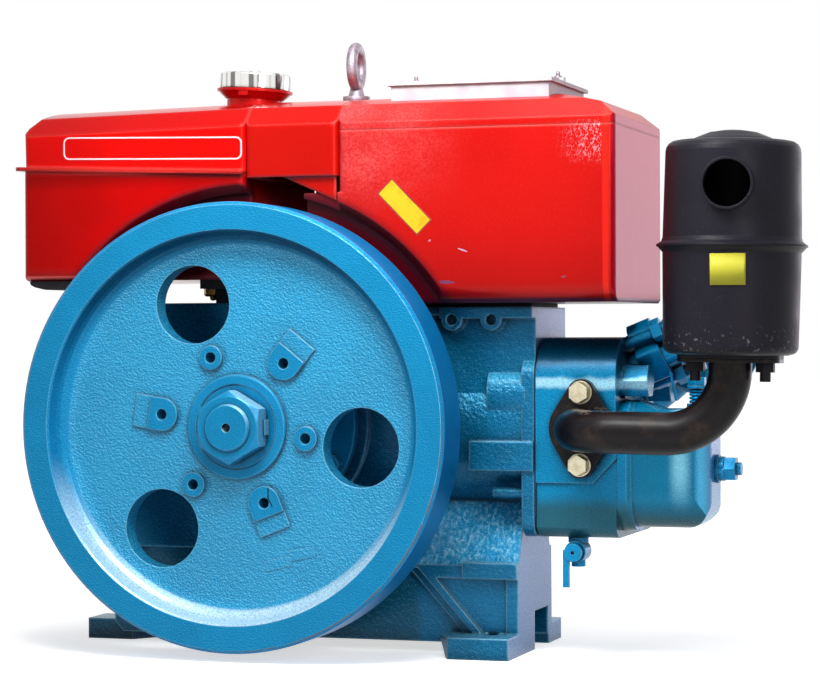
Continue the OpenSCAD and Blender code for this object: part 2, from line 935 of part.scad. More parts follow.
module fuel_pipe() {
    sides = 10;
    steps = 5;
    reach = 80;
    a = [head_x1 + reach * cos(injector_tilt), injector_y, injector_z + reach * sin(injector_tilt)];
    color("steelblue")
    swept_pipe(smooth_path([
        a, [a[0] + 7, a[1] + 2, a[2] + 3], [a[0] + 2, a[1] + 22, a[2] - 2],
        [head_x1 + 22, block_rear - 22, 56], [head_x1 + 4, fuel_pipe_y, 52],
        [port_x, fuel_pipe_y + 7, 54], [pump_x + 18, pump_y, 62],
        [pump_x + 5, pump_y, 62], [pump_x, pump_y, 52]
    ], steps), fuel_pipe_r, sides);
}

module decompression_stud() {
    x = cover_x1 - 16;
    y = cover_mid_y + 6;
    color("steelblue") {
        translate([x, y, cover_up]) {
            cylinder(r = 4, h = 24.5);
            cylinder(r = 8, h = 4);
            translate([0, 0, 16])
                cylinder(r = 8, h = 2);
            translate([0, 0, 17.5])
                hex(13, 7);
            for (i = [0:3])
                translate([0, 0, 5.6 + 2.8 * i])
                    rotate_extrude()
                        translate([5, 0])
                            circle(1.2, $fn = 16);
        }
    }
}

// ---------- exhaust ----------

bolt_pitch = 56;
bolt_r = 5;
bolt_hole = 16;
port_flange_t = 8;
port_straight = silencer_y - port_flange_t - bend_port;
top_plate_t = 3;

// Places children on the exhaust port, turned by the lean
module on_port() {
    translate([port_x, block_front, port_z])
        rotate([0, exhaust_lean, 0])
            children();
}

// Quarter bend in the X-Y plane about the origin, from +Y... to the low side
module bend(radius, r) {
    rotate_extrude(angle = 90)
        translate([radius, 0])
            circle(r);
}

// The pipe as one solid: out of the flange, round to +X, then up
module pipe_solid(r) {
    top_z = silencer_z - 2 * top_plate_t;
    rod_y(0, 0, r, -port_flange_t - port_straight, -port_flange_t);
    translate([bend_port, -port_flange_t - port_straight, 0])
        rotate([0, 0, 180])
            bend(bend_port, r);
    rod_x(-silencer_y, 0, r, bend_port, silencer_x - bend_up);
    translate([silencer_x - bend_up, -silencer_y, bend_up])
        rotate([90, 0, 0])
            rotate([0, 0, -90])
                bend(bend_up, r);
    translate([silencer_x, -silencer_y, bend_up])
        cylinder(r = r, h = top_z - bend_up);
}

// Diamond outline of the port flange in X and Z
module port_flange_outline() {
    side_r = 25;
    end_r = 10.3;
    hull() {
        circle(side_r, $fn = 32);
        for (z = [-bolt_pitch / 2, bolt_pitch / 2])
            translate([0, z])
                circle(end_r, $fn = 32);
    }
}

plate_bolt_x = 26;

module exhaust_elbow() {
    color("#222222")
    on_port()
        difference() {
            union() {
                along_y(-port_flange_t, 0)
                    port_flange_outline();
                pipe_solid(pipe_r);
                translate([silencer_x, -silencer_y, silencer_z - 2 * top_plate_t])
                    linear_extrude(top_plate_t)
                        round_rect([-38, -20], [38, 20], 12);
            }
            pipe_solid(pipe_r - pipe_wall);
            rod_y(0, 0, pipe_r - pipe_wall, -port_flange_t - past, past);
            translate([silencer_x, -silencer_y, silencer_z - 2 * top_plate_t - past])
                cylinder(r = pipe_r - pipe_wall, h = top_plate_t + 2 * past);
            for (z = [-bolt_pitch / 2, bolt_pitch / 2])
                rod_y(0, z, bolt_r, -port_flange_t - past, past);
            for (s = [-1, 1])
                translate([silencer_x + s * plate_bolt_x, -silencer_y, silencer_z - 2 * top_plate_t - past])
                    cylinder(r = 4, h = top_plate_t + 2 * past);
        }
}

module exhaust_bolts() {
    color("goldenrod")
    on_port()
        for (z = [-bolt_pitch / 2, bolt_pitch / 2]) {
            rod_y(0, z, bolt_r, -port_flange_t, bolt_hole);
            rod_y(0, z, 9, -port_flange_t - 1.5, -port_flange_t);
            translate([0, -port_flange_t - 1.5, z])
                rotate([90, 0, 0])
                    hex(14, 8);
        }
}

// Places children at the bottom of the silencer, on its axis
module on_silencer() {
    on_port()
        translate([silencer_x, -silencer_y, silencer_z - top_plate_t])
            children();
}

// How much slimmer the silencer is at its ends, and how far its seam's lip is thinned
silencer_draft = 1.3;
lip_root = 5;
outlet_turn = 6;

// Points of a quarter round edge about a centre, from angle a0 to a1, in radius and height
function round_edge(c, r, a0, a1) =
    [for (i = [0:4]) let (a = a0 + (a1 - a0) * i / 4) [c[0] + r * cos(a), c[1] + r * sin(a)]];

module silencer_lower() {
    edge = 6;
    z0 = top_plate_t;
    end_r = silencer_r - silencer_draft;
    color("#222222")
    on_silencer()
        difference() {
            union() {
                linear_extrude(top_plate_t)
                    round_rect([-38, -20], [38, 20], 12);
                rotate_extrude()
                    polygon(concat(
                        [[0, z0 - past / 2], [end_r - edge - 1, z0 - past / 2]],
                        round_edge([end_r - edge, z0 + edge], edge, -90, 0),
                        [[silencer_r, seam_z - lip_root], [seam_r - 1, seam_z - 1.2]],
                        [[seam_r, seam_z - 0.8], [seam_r, seam_z], [0, seam_z]]
                    ));
            }
            rotate_extrude()
                polygon([
                    [0, z0 + silencer_wall], [end_r - edge, z0 + silencer_wall],
                    [end_r - silencer_wall, z0 + edge],
                    [silencer_r - silencer_wall, seam_z + past], [0, seam_z + past]
                ]);
            translate([0, 0, -past])
                cylinder(r = pipe_r - pipe_wall, h = z0 + 2 * silencer_wall);
            for (s = [-1, 1])
                translate([s * plate_bolt_x, 0, -past])
                    cylinder(r = 4, h = z0 + past + 0.5);
        }
}

module silencer_upper() {
    edge = 8;
    dome_r = 30;
    dome_h = 8;
    top = silencer_h + top_plate_t;
    end_r = silencer_r - silencer_draft;
    color("#222222")
    on_silencer()
        difference() {
            union() {
                rotate_extrude()
                    polygon(concat(
                        [[0, seam_z], [seam_r, seam_z], [seam_r, seam_z + 0.8], [seam_r - 1, seam_z + 1.2]],
                        [[silencer_r + 1, seam_z + 3], [silencer_r, seam_z + lip_root + 1]],
                        round_edge([end_r - edge, top - edge], edge, 0, 90),
                        [[dome_r + 2, top], [dome_r - 2, top + dome_h * 0.3]],
                        [[dome_r - 12, top + dome_h * 0.8], [8, top + dome_h], [0, top + dome_h]]
                    ));
                rotate([0, 0, outlet_turn])
                    rod_y(0, outlet_z, outlet_r, -silencer_r - outlet_l, 0);
            }
            rotate_extrude()
                polygon([
                    [0, seam_z - past], [silencer_r - silencer_wall, seam_z - past],
                    [end_r - silencer_wall, top - edge], [end_r - edge, top - silencer_wall],
                    [0, top - silencer_wall]
                ]);
            rotate([0, 0, outlet_turn])
                rod_y(0, outlet_z, outlet_r - silencer_wall, -silencer_r - outlet_l - past, 0);
        }
}

module silencer_studs() {
    color("#222222")
    on_silencer()
        for (s = [-1, 1])
            translate([s * plate_bolt_x, 0, -top_plate_t]) {
                translate([0, 0, -14])
                    cylinder(r = 4, h = 14 + 2 * top_plate_t + 0.5);
                translate([0, 0, -7])
                    hex(13, 7);
            }
}

// ---------- intake ----------

intake_x = port_x;
intake_z = 8;
intake_r = 18;
intake_bend = 34;
// Length over which the straight pipes sleeve the bend
sleeve = 3;
cleaner_r = 38;
cleaner_l = 76;
cleaner_x = head_x1 + 33;
cleaner_z = 60;
cleaner_gap = 10;
fuel_pipe_gap = 2;
cleaner_y0 = max(top_y1 + cleaner_gap, fuel_pipe_y + fuel_pipe_r + fuel_pipe_gap);
// Rise of the intake's arm towards the air cleaner, and the arm's length to its axis
intake_turn = atan((cleaner_z - intake_z) / (cleaner_x - intake_x));
intake_arm = norm([cleaner_x - intake_x, cleaner_z - intake_z]);
intake_arm_y = cleaner_y0 + cleaner_l / 2;

// The arm from the intake's bend into the air cleaner
module intake_arm_solid(r, to_axis) {
    translate([intake_x, intake_arm_y, intake_z])
        rotate([0, 90 - intake_turn, 0])
            translate([0, 0, intake_bend - sleeve])
                cylinder(r = r, h = intake_arm - intake_bend - to_axis + sleeve);
}

module intake_elbow() {
    color("steelblue")
    difference() {
        union() {
            along_y(block_rear, block_rear + 8)
                translate([intake_x, intake_z])
                    round_rect([-24, -34], [24, 34], 14);
            rod_y(intake_x, intake_z, intake_r, block_rear + 7, intake_arm_y - intake_bend + sleeve);
            translate([intake_x, intake_arm_y - intake_bend, intake_z])
                rotate([0, -intake_turn, 0])
                    translate([intake_bend, 0, 0])
                        rotate([0, 0, 90])
                            rotate_extrude(angle = 90)
                                translate([intake_bend, 0])
                                    circle(intake_r - 1);
            intake_arm_solid(intake_r, cleaner_r - 9);
        }
        rod_y(intake_x, intake_z, intake_r - 3, block_rear - past, intake_arm_y - intake_bend);
    }
}

module air_cleaner() {
    edge = 7;
    rim = 3;
    rim_at = cleaner_l - 13;
    color("steelblue")
    difference() {
        translate([cleaner_x, cleaner_y0, cleaner_z])
            rotate([-90, 0, 0])
                rotate_extrude()
                    polygon([
                        [0, 0], [cleaner_r - edge, 0], [cleaner_r - 3, 3], [cleaner_r, edge],
                        [cleaner_r, rim_at], [cleaner_r + rim, rim_at],
                        [cleaner_r + rim, rim_at + 5], [cleaner_r, rim_at + 5],
                        [cleaner_r, cleaner_l - edge], [cleaner_r - edge, cleaner_l], [0, cleaner_l]
                    ]);
        intake_arm_solid(intake_r, cleaner_r - 9);
    }
}

// ---------- hopper and tank ----------

// Front view of the hopper or tank: a low box, with its free top end bevelled on the left or right
module top_front_outline(x0, x1, z0, left_free, right_free, inset) {
    a = x0 + inset;
    b = x1 - inset;
    top = roof_peak + past;
    left_edge = 10;
    right_edge = 13;
    hip_l = 70;
    hip_low = 3;
    low = rear_shoulder_z;
    left_end = left_free == 1
        ? [[a + left_edge + past, top], [a + left_edge, roof_z - inset], [a + 0.25 * left_edge, roof_z - 8],
           [a, shoulder_z - 1]]
        : [[a, top], [a, shoulder_z]];
    right_end = right_free == 1
        ? [[b, shoulder_z + 1], [b - right_edge, roof_z - hip_low - inset], [b - hip_l, top - inset]]
        : [[b, shoulder_z], [b, top]];
    polygon(concat([[a, z0 + inset], [b, z0 + inset], [b, low]], right_end, left_end, [[a, low]]));
}

// Side view in Y and Z: bevelled shoulders, crowned roof, round lower edges
module top_side_outline(z0, low_r, inset) {
    y0 = top_y0 + inset;
    y1 = top_y1 - inset;
    intersection() {
        union() {
            translate([y0, z0 + inset + low_r])
                square([y1 - y0, rear_shoulder_z - z0 - inset - low_r]);
            translate([y0 + low_r, z0 + inset])
                square([y1 - y0 - 2 * low_r, low_r + past]);
            for (y = [y0 + low_r, y1 - low_r])
                translate([y, z0 + inset + low_r])
                    circle(low_r);
            polygon([[y0, rear_shoulder_z - past], [y0, shoulder_z], [y0 + roof_bevel, roof_z - inset],
                     [y0 + roof_bevel, roof_peak], [y1 - rear_bevel, roof_peak],
                     [y1 - rear_bevel, roof_z - inset], [y1, rear_shoulder_z], [y1, rear_shoulder_z - past]]);
        }
        translate([roof_mid_y, roof_peak - crown_r - inset])
            circle(crown_r, $fn = 128);
    }
}

// The whole outer form of one of the two boxes, or its inside when inset is the wall
module top_form(x0, x1, z0, left_free, right_free, low_r, inset) {
    difference() {
        intersection() {
            along_y(top_y0 + inset, top_y1 - inset)
                top_front_outline(x0, x1, z0, left_free, right_free, inset);
            along_x(x0 + inset, x1 - inset)
                top_side_outline(z0, low_r, inset);
            along_z(z0, roof_peak + past)
                round_rect([x0 + inset, top_y0 + inset], [x1 - inset, top_y1 - inset], top_corner - inset);
        }
        arch_hollow(inset);
    }
}

// Recess over the flywheel, with a sloping edge round its mouth
module arch_hollow(inset) {
    mouth = arch_r + inset;
    back = arch_inner_r + inset;
    edge_depth = 8;
    y = top_y0 + inset;
    rotate([90, 0, 0])
        rotate_extrude()
            polygon([
                [0, past - top_y0], [mouth, past - top_y0], [mouth, -y], [back, -y - edge_depth],
                [back, -y - arch_depth], [0, -y - arch_depth]
            ]);
}

// Keeps what lies between two heights
module between(z0, z1) {
    intersection() {
        children();
        box([-400, top_y0 - 20, z0], [400, top_y1 + 20, z1]);
    }
}

module hopper_form(inset) {
    top_form(hopper_left, hopper_right, hopper_z0, 0, 1, hopper_skirt, inset);
}

// Below this height the hopper runs on to the left, set back behind the bridge cover's flap
wing_top = 183;
wing_left = 44;
wing_back = 8;

module hopper_low_form(inset) {
    difference() {
        between(hopper_z0 + inset, wing_top - inset)
            top_form(wing_left, hopper_right, hopper_z0, 0, 1, hopper_skirt, inset);
        box([wing_left - past, top_y0 - past, hopper_z0 - past],
            [hopper_left + inset, top_y0 + wing_back + inset, wing_top + past]);
    }
}

module hopper_gasket() {
    color("#1a1a1a")
    along_z(deck_z, hopper_z0)
        round_rect([block_x0 + 8, block_front + 6], [block_end_x - 4, jacket_rear - 3], 6);
}

module hopper_shell() {
    color("firebrick")
    difference() {
        union() {
            hopper_low_form(0);
            between(wing_top, rear_shoulder_z)
                hopper_form(0);
        }
        hopper_low_form(sheet_t);
        between(wing_top - sheet_t, roof_peak)
            hopper_form(sheet_t);
    }
}

collar_a = [hopper_left + 35, top_mid_y - 56];
collar_b = [hopper_right - 58, top_mid_y + 56];
collar_t = 2;
collar_z0 = roof_z - 6;
collar_z1 = roof_peak + 6;

module hopper_roof() {
    color("firebrick")
    difference() {
        between(rear_shoulder_z, roof_peak + past)
            hopper_form(0);
        hopper_form(sheet_t);
        box([collar_a[0], collar_a[1], shoulder_z], [collar_b[0], collar_b[1], roof_peak + 2 * past]);
    }
}

module hopper_collar() {
    color("gainsboro")
    difference() {
        box([collar_a[0], collar_a[1], collar_z0], [collar_b[0], collar_b[1], collar_z1]);
        box([collar_a[0] + collar_t, collar_a[1] + collar_t, collar_z0 - past],
            [collar_b[0] - collar_t, collar_b[1] - collar_t, collar_z1 + past]);
    }
}

module hopper_lid() {
    lid_t = 3;
    over = 3;
    color("gainsboro") {
        box([collar_a[0] - over, collar_a[1] - over, collar_z1], [collar_b[0] + over, collar_b[1] + over, collar_z1 + lid_t]);
        for (x = [collar_a[0] + 4, collar_b[0] - 4])
            translate([x, top_mid_y, collar_z1 + lid_t])
                cylinder(r = 3, h = 5);
    }
}

tank_edge_r = 12;

module tank_form(inset) {
    top_form(-tank_left, tank_right, tank_bottom, 1, 0, tank_edge_r, inset);
}

// The tank's form with its roof falling to the left end, up to the bridge cover
module falling_tank_form(inset) {
    angle = atan(roof_fall / (tank_left + tank_right));
    intersection() {
        translate([tank_right, 0, roof_z])
            rotate([0, -angle, 0])
                translate([-tank_right, 0, -roof_z])
                    tank_form(inset);
        box([-tank_left - 10, top_y0 - 10, 0], [tank_right, top_y1 + 10, roof_peak + 10]);
    }
}

// Everything below the sloping seam, moved up by dz
module below_seam(dz) {
    intersection() {
        children();
        along_y(top_y0 - 20, top_y1 + 20)
            polygon([
                [-tank_left - 20, 0], [tank_right + 20, 0],
                [tank_right + 20, seam_left - seam_fall + dz - 0.7], [-tank_left - 20, seam_left + dz + 0.7]
            ]);
    }
}

// The lip round the seam, open at the bridge cover
module seam_lip() {
    z0 = seam_left - 2 * seam_fall;
    z1 = seam_left + seam_fall;
    open_x = tank_right + 20;
    difference() {
        along_z(z0, z1)
            round_rect([-tank_left - lip_w, top_y0 - lip_w / 2], [open_x, top_y1 + lip_w / 2],
                top_corner + lip_w / 2);
        along_z(z0 - past, z1 + past)
            round_rect([-tank_left + 1, top_y0 + 1], [open_x + 20, top_y1 - 1], top_corner - 1);
        box([tank_right - past, top_y0 - 20, z0 - past], [open_x + past, top_y1 + 20, z1 + past]);
    }
}

module tank_lower() {
    color("firebrick")
    difference() {
        union() {
            below_seam(0)
                tank_form(0);
            difference() {
                below_seam(0)
                    seam_lip();
                below_seam(-lip_t / 2)
                    along_z(0, roof_peak)
                        square([2000, 2000], center = true);
            }
        }
        below_seam(past)
            tank_form(sheet_t);
    }
}

module tank_upper() {
    color("firebrick")
    difference() {
        union() {
            difference() {
                falling_tank_form(0);
                below_seam(0)
                    along_z(0, roof_peak)
                        square([2000, 2000], center = true);
            }
            difference() {
                below_seam(lip_t / 2)
                    seam_lip();
                below_seam(0)
                    along_z(0, roof_peak)
                        square([2000, 2000], center = true);
            }
        }
        falling_tank_form(sheet_t);
        on_neck()
            translate([0, 0, -neck_sunk])
                cylinder(r = neck_r, h = 2 * neck_sunk);
    }
}

module bridge_cover() {
    low = seam_left - seam_fall - 4;
    flap_y = top_y0 + 5;
    flap_right = hopper_left - 3;
    skirt_right = wing_left - 1;
    color("firebrick")
    difference() {
        union() {
            between(low, roof_peak + past)
                top_form(tank_right, hopper_left, low - 30, 0, 0, 1, 0);
            along_y(flap_y, flap_y + sheet_t)
                polygon([[28, low + 4], [flap_right, low + 4], [flap_right, low - 19], [28, low]]);
            along_y(top_y1 - sheet_t, top_y1)
                polygon([
                    [tank_right, low + 4], [hopper_left, low + 4], [hopper_left, wing_top + 1],
                    [skirt_right, wing_top + 1], [skirt_right, tank_bottom], [tank_right, tank_bottom]
                ]);
        }
        translate([0, top_y0 + sheet_t, 0])
            between(low - past, roof_peak - sheet_t)
                top_form_inner_bridge(low);
        translate([eye_x, top_mid_y, low])
            cylinder(r = eye_stem_r, h = 100);
    }
}

// The inside of the bridge cover, open below and closed at its ends by its neighbours
module top_form_inner_bridge(low) {
    translate([0, -top_y0 - sheet_t, 0])
        intersection() {
            box([tank_right + sheet_t, top_y0 + sheet_t, low - past],
                [hopper_left - sheet_t, top_y1 - sheet_t, roof_peak]);
            translate([0, 0, -sheet_t])
                along_x(tank_right, hopper_left)
                    top_side_outline(low - 40, 1, sheet_t);
        }
}

strip_w = 26;
strip_t = 7;
strip_x = -50;
strip_y = [top_y0 + 22, top_y1 - 30];
// The left strip is wider, reaches nearly to the tank's front and is rounded at its outer end
left_strip_x = 2 - tank_left;
left_strip_w = 44;

module tank_strips() {
    low = tank_bottom - strip_t;
    color("#1a1a1a") {
        box([strip_x, strip_y[0], low], [strip_x + strip_w, strip_y[1], tank_bottom]);
        translate([left_strip_x, 0, 0])
            along_y(top_y0 + 8, strip_y[1])
                polygon([
                    [0, tank_bottom], [left_strip_w, tank_bottom], [left_strip_w, low], [14, low],
                    [5, low + 2], [1, low + 4]
                ]);
    }
}

module tank_bracket() {
    t = 4;
    top = tank_bottom - strip_t;
    color("#222222") {
        box([-case_left - 11, case_front, top - t], [-case_left, strip_y[1], top]);
        box([-case_left - t, case_front, 43], [-case_left, strip_y[1], top]);
        box([strip_x, case_front, case_top_z], [strip_x + strip_w, strip_y[1], top]);
    }
}

// Places children on the filler neck's seat on the roof, tilted to the right
module on_neck() {
    translate([cap_x, top_mid_y, roof_peak])
        rotate([0, cap_tilt, 0])
            children();
}

neck_wall = 2;
neck_sunk = 16;

module filler_neck() {
    flange_t = 2;
    cup = 6;
    color("firebrick")
    on_neck()
        difference() {
            union() {
                translate([0, 0, -neck_sunk])
                    cylinder(r = neck_r, h = neck_sunk + neck_h);
                rotate_extrude()
                    polygon([
                        [neck_r - past, neck_h - flange_t - cup], [neck_r + 1, neck_h - flange_t - cup],
                        [neck_flange_r - 2, neck_h - flange_t - 1], [neck_flange_r, neck_h - flange_t],
                        [neck_flange_r, neck_h], [neck_r - past, neck_h]
                    ]);
            }
            translate([0, 0, -neck_sunk - past])
                cylinder(r = neck_r - neck_wall, h = neck_sunk + neck_h + 2 * past);
        }
}

module fuel_cap() {
    color("silver")
    on_neck()
        translate([0, 0, neck_h])
            rotate_extrude()
                polygon([
                    [0, 0], [cap_r - 0.6, 0], [cap_r, 0.6], [cap_r, cap_h - 4], [cap_r - 1.5, cap_h - 2.5],
                    [12, cap_h - 2], [9, cap_h - 0.5], [5, cap_h], [0, cap_h]
                ]);
}

module fuel_tap() {
    x = 42 - tank_left;
    y = top_y1 - 12;
    color("goldenrod") {
        translate([x, y, tank_bottom - 12])
            cylinder(r = 7, h = 12);
        translate([x, y, tank_bottom - 26])
            cylinder(r = 11, h = 14);
        box([x - 3, y + 10, tank_bottom - 22], [x + 3, y + 30, tank_bottom - 16]);
    }
}

eye_stem_r = 6;

module lifting_eye() {
    turn = 95;
    ring_z = roof_peak + 4 + 4 + eye_r;
    color("gray")
    translate([eye_x, top_mid_y, 0]) {
        translate([0, 0, wing_top])
            cylinder(r = eye_stem_r, h = roof_peak - wing_top);
        translate([0, 0, roof_peak])
            cylinder(r = 11, h = 4);
        translate([0, 0, roof_peak + 3])
            cylinder(r1 = 7, r2 = 5, h = 8);
        translate([0, 0, ring_z])
            rotate([0, 0, turn])
                rotate([90, 0, 0])
                    rotate_extrude()
                        translate([eye_r - eye_bar, 0])
                            circle(eye_bar);
    }
}

// ---------- small fittings ----------

cock_x = head_x0 + 29;
cock_y = block_front + 20;
cock_z = -head_down - 11;
lever_pin_r = 4;

module drain_cock() {
    spout = 12;
    color("steelblue")
    difference() {
        union() {
            translate([cock_x, cock_y, cock_z])
                cylinder(r = 5, h = -head_down - cock_z);
            translate([cock_x, cock_y, -head_down - 4])
                cylinder(r = 8, h = 4);
            translate([cock_x, cock_y, cock_z - spout])
                cylinder(r = 5.5, h = spout);
            rod_y(cock_x, cock_z, 8.5, cock_y - 12, cock_y + 8);
        }
        rod_y(cock_x, cock_z, lever_pin_r + running_gap, cock_y - 12 - past, cock_y + 1);
        translate([cock_x, cock_y, cock_z - spout - past])
            cylinder(r = 3, h = 6);
    }
}

module drain_lever() {
    color("steelblue") {
        rod_y(cock_x, cock_z, lever_pin_r, cock_y - 16, cock_y);
        difference() {
            rod_y(cock_x, cock_z, 7, cock_y - 20, cock_y - 15.5);
            rod_y(cock_x, cock_z, 1.5, cock_y - 21, cock_y - 18);
        }
        along_y(cock_y - 19, cock_y - 16)
            polygon([
                [cock_x - 8, cock_z + 2], [cock_x, cock_z + 4], [cock_x - 3, cock_z - 5],
                [cock_x - 3, cock_z - 27], [cock_x - 8, cock_z - 27]
            ]);
    }
}

module speed_lever() {
    x = -40;
    z = 56;
    hub_y = gear_back + 8;
    color("slategray") {
        rod_y(x, z, 6, gear_back, hub_y + 6);
        rod_y(x, z, 9, hub_y, hub_y + 4);
        along_y(hub_y, hub_y + 4)
            polygon([[x - 7, z + 4], [x + 7, z + 4], [x + 4, z + 52], [x - 4, z + 52]]);
    }
}

module dipstick() {
    color("#1a1a1a")
    translate([-70, gear_y - 16, case_top_z]) {
        cylinder(r = 9, h = 5);
        cylinder(r = 12, h = 3);
    }
}

crankcase();
bearing_cover();
end_cover();
gear_case_cover();
starting_shaft();
flywheel();
crankshaft_end();
tab_washer();
flywheel_nut();
head_gasket();
cylinder_head();
rocker_cover();
rocker_cover_bolt();
injector();
injector_clamp();
injector_studs();
injection_pump();
fuel_pipe();
decompression_stud();
exhaust_elbow();
exhaust_bolts();
silencer_lower();
silencer_upper();
silencer_studs();
intake_elbow();
air_cleaner();
hopper_gasket();
hopper_shell();
hopper_roof();
hopper_collar();
hopper_lid();
tank_lower();
tank_upper();
bridge_cover();
tank_strips();
tank_bracket();
filler_neck();
fuel_cap();
fuel_tap();
lifting_eye();
drain_cock();
drain_lever();
speed_lever();
dipstick();
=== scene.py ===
"""Looks of the single-cylinder water-cooled diesel engine, in metres, in the part's own frame.

The origin is on the crankshaft's axis. X runs to the cylinder head, -Y out of the flywheel and Z up.
"""
from math import cos, pi, radians, sin, tau

import bmesh
import bpy
from mathutils import Matrix, Vector


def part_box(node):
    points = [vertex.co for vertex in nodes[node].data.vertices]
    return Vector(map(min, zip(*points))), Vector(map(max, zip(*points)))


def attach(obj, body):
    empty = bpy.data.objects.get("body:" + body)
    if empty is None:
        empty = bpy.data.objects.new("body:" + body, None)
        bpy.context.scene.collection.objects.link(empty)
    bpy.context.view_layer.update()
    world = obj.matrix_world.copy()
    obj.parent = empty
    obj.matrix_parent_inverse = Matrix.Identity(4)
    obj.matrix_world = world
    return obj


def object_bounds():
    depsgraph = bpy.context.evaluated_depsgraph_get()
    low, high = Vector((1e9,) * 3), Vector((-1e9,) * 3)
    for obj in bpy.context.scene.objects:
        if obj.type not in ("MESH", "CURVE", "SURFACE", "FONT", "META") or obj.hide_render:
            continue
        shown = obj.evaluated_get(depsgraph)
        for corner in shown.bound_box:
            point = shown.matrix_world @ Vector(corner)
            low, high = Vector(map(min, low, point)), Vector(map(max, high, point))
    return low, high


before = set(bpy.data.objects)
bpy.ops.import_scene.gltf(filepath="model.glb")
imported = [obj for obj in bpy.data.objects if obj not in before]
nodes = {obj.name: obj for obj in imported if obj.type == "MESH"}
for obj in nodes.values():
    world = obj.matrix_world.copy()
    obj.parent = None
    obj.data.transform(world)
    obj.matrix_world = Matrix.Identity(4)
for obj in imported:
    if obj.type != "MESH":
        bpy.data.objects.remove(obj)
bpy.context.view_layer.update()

FRONT = (0, -1, 0)
REAR = (0, 1, 0)
LEFT = (-1, 0, 0)
UP = (0, 0, 1)
WHEEL_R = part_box("flywheel")[1].x

# ---------------------------------------------------------------- camera
CAM_PLACE = Vector((0.7397, -1.8709, 0.0706))
CAM_YAW = radians(17.695)
CAM_PITCH = radians(0.0716)
CAM_ROLL = radians(0.205)
CAM_LENS = 113.12
CAM_SENSOR = 36.0


def make_camera():
    """The photograph's viewpoint: a long lens, level with the engine and a little to its right."""
    data = bpy.data.cameras.new("camera")
    cam = bpy.data.objects.new("camera", data)
    bpy.context.scene.collection.objects.link(cam)
    data.sensor_width = CAM_SENSOR
    data.lens = CAM_LENS
    turn = (Matrix.Rotation(CAM_YAW, 4, "Z") @ Matrix.Rotation(radians(90) - CAM_PITCH, 4, "X")
            @ Matrix.Rotation(-CAM_ROLL, 4, "Z"))
    cam.matrix_world = Matrix.Translation(CAM_PLACE) @ turn
    bpy.context.scene.camera = cam


# ---------------------------------------------------------------- node trees
def lin(red, green, blue):
    """A linear colour from its 0 to 255 screen values."""
    return tuple(((v / 255 + 0.055) / 1.055) ** 2.4 if v > 10 else v / 255 / 12.92
                 for v in (red, green, blue)) + (1.0,)


def put(tree, socket, value):
    """Links value into socket if it is a node's output, and otherwise sets it there."""
    if hasattr(value, "is_linked"):
        tree.links.new(value, socket)
    else:
        socket.default_value = value


def add_node(tree, kind, inputs=(), **settings):
    """A new shader node with its settings, and with values or links in its inputs."""
    node = tree.nodes.new("ShaderNode" + kind)
    for name, value in settings.items():
        setattr(node, name, value)
    for socket, value in dict(inputs).items():
        put(tree, node.inputs[socket], value)
    return node


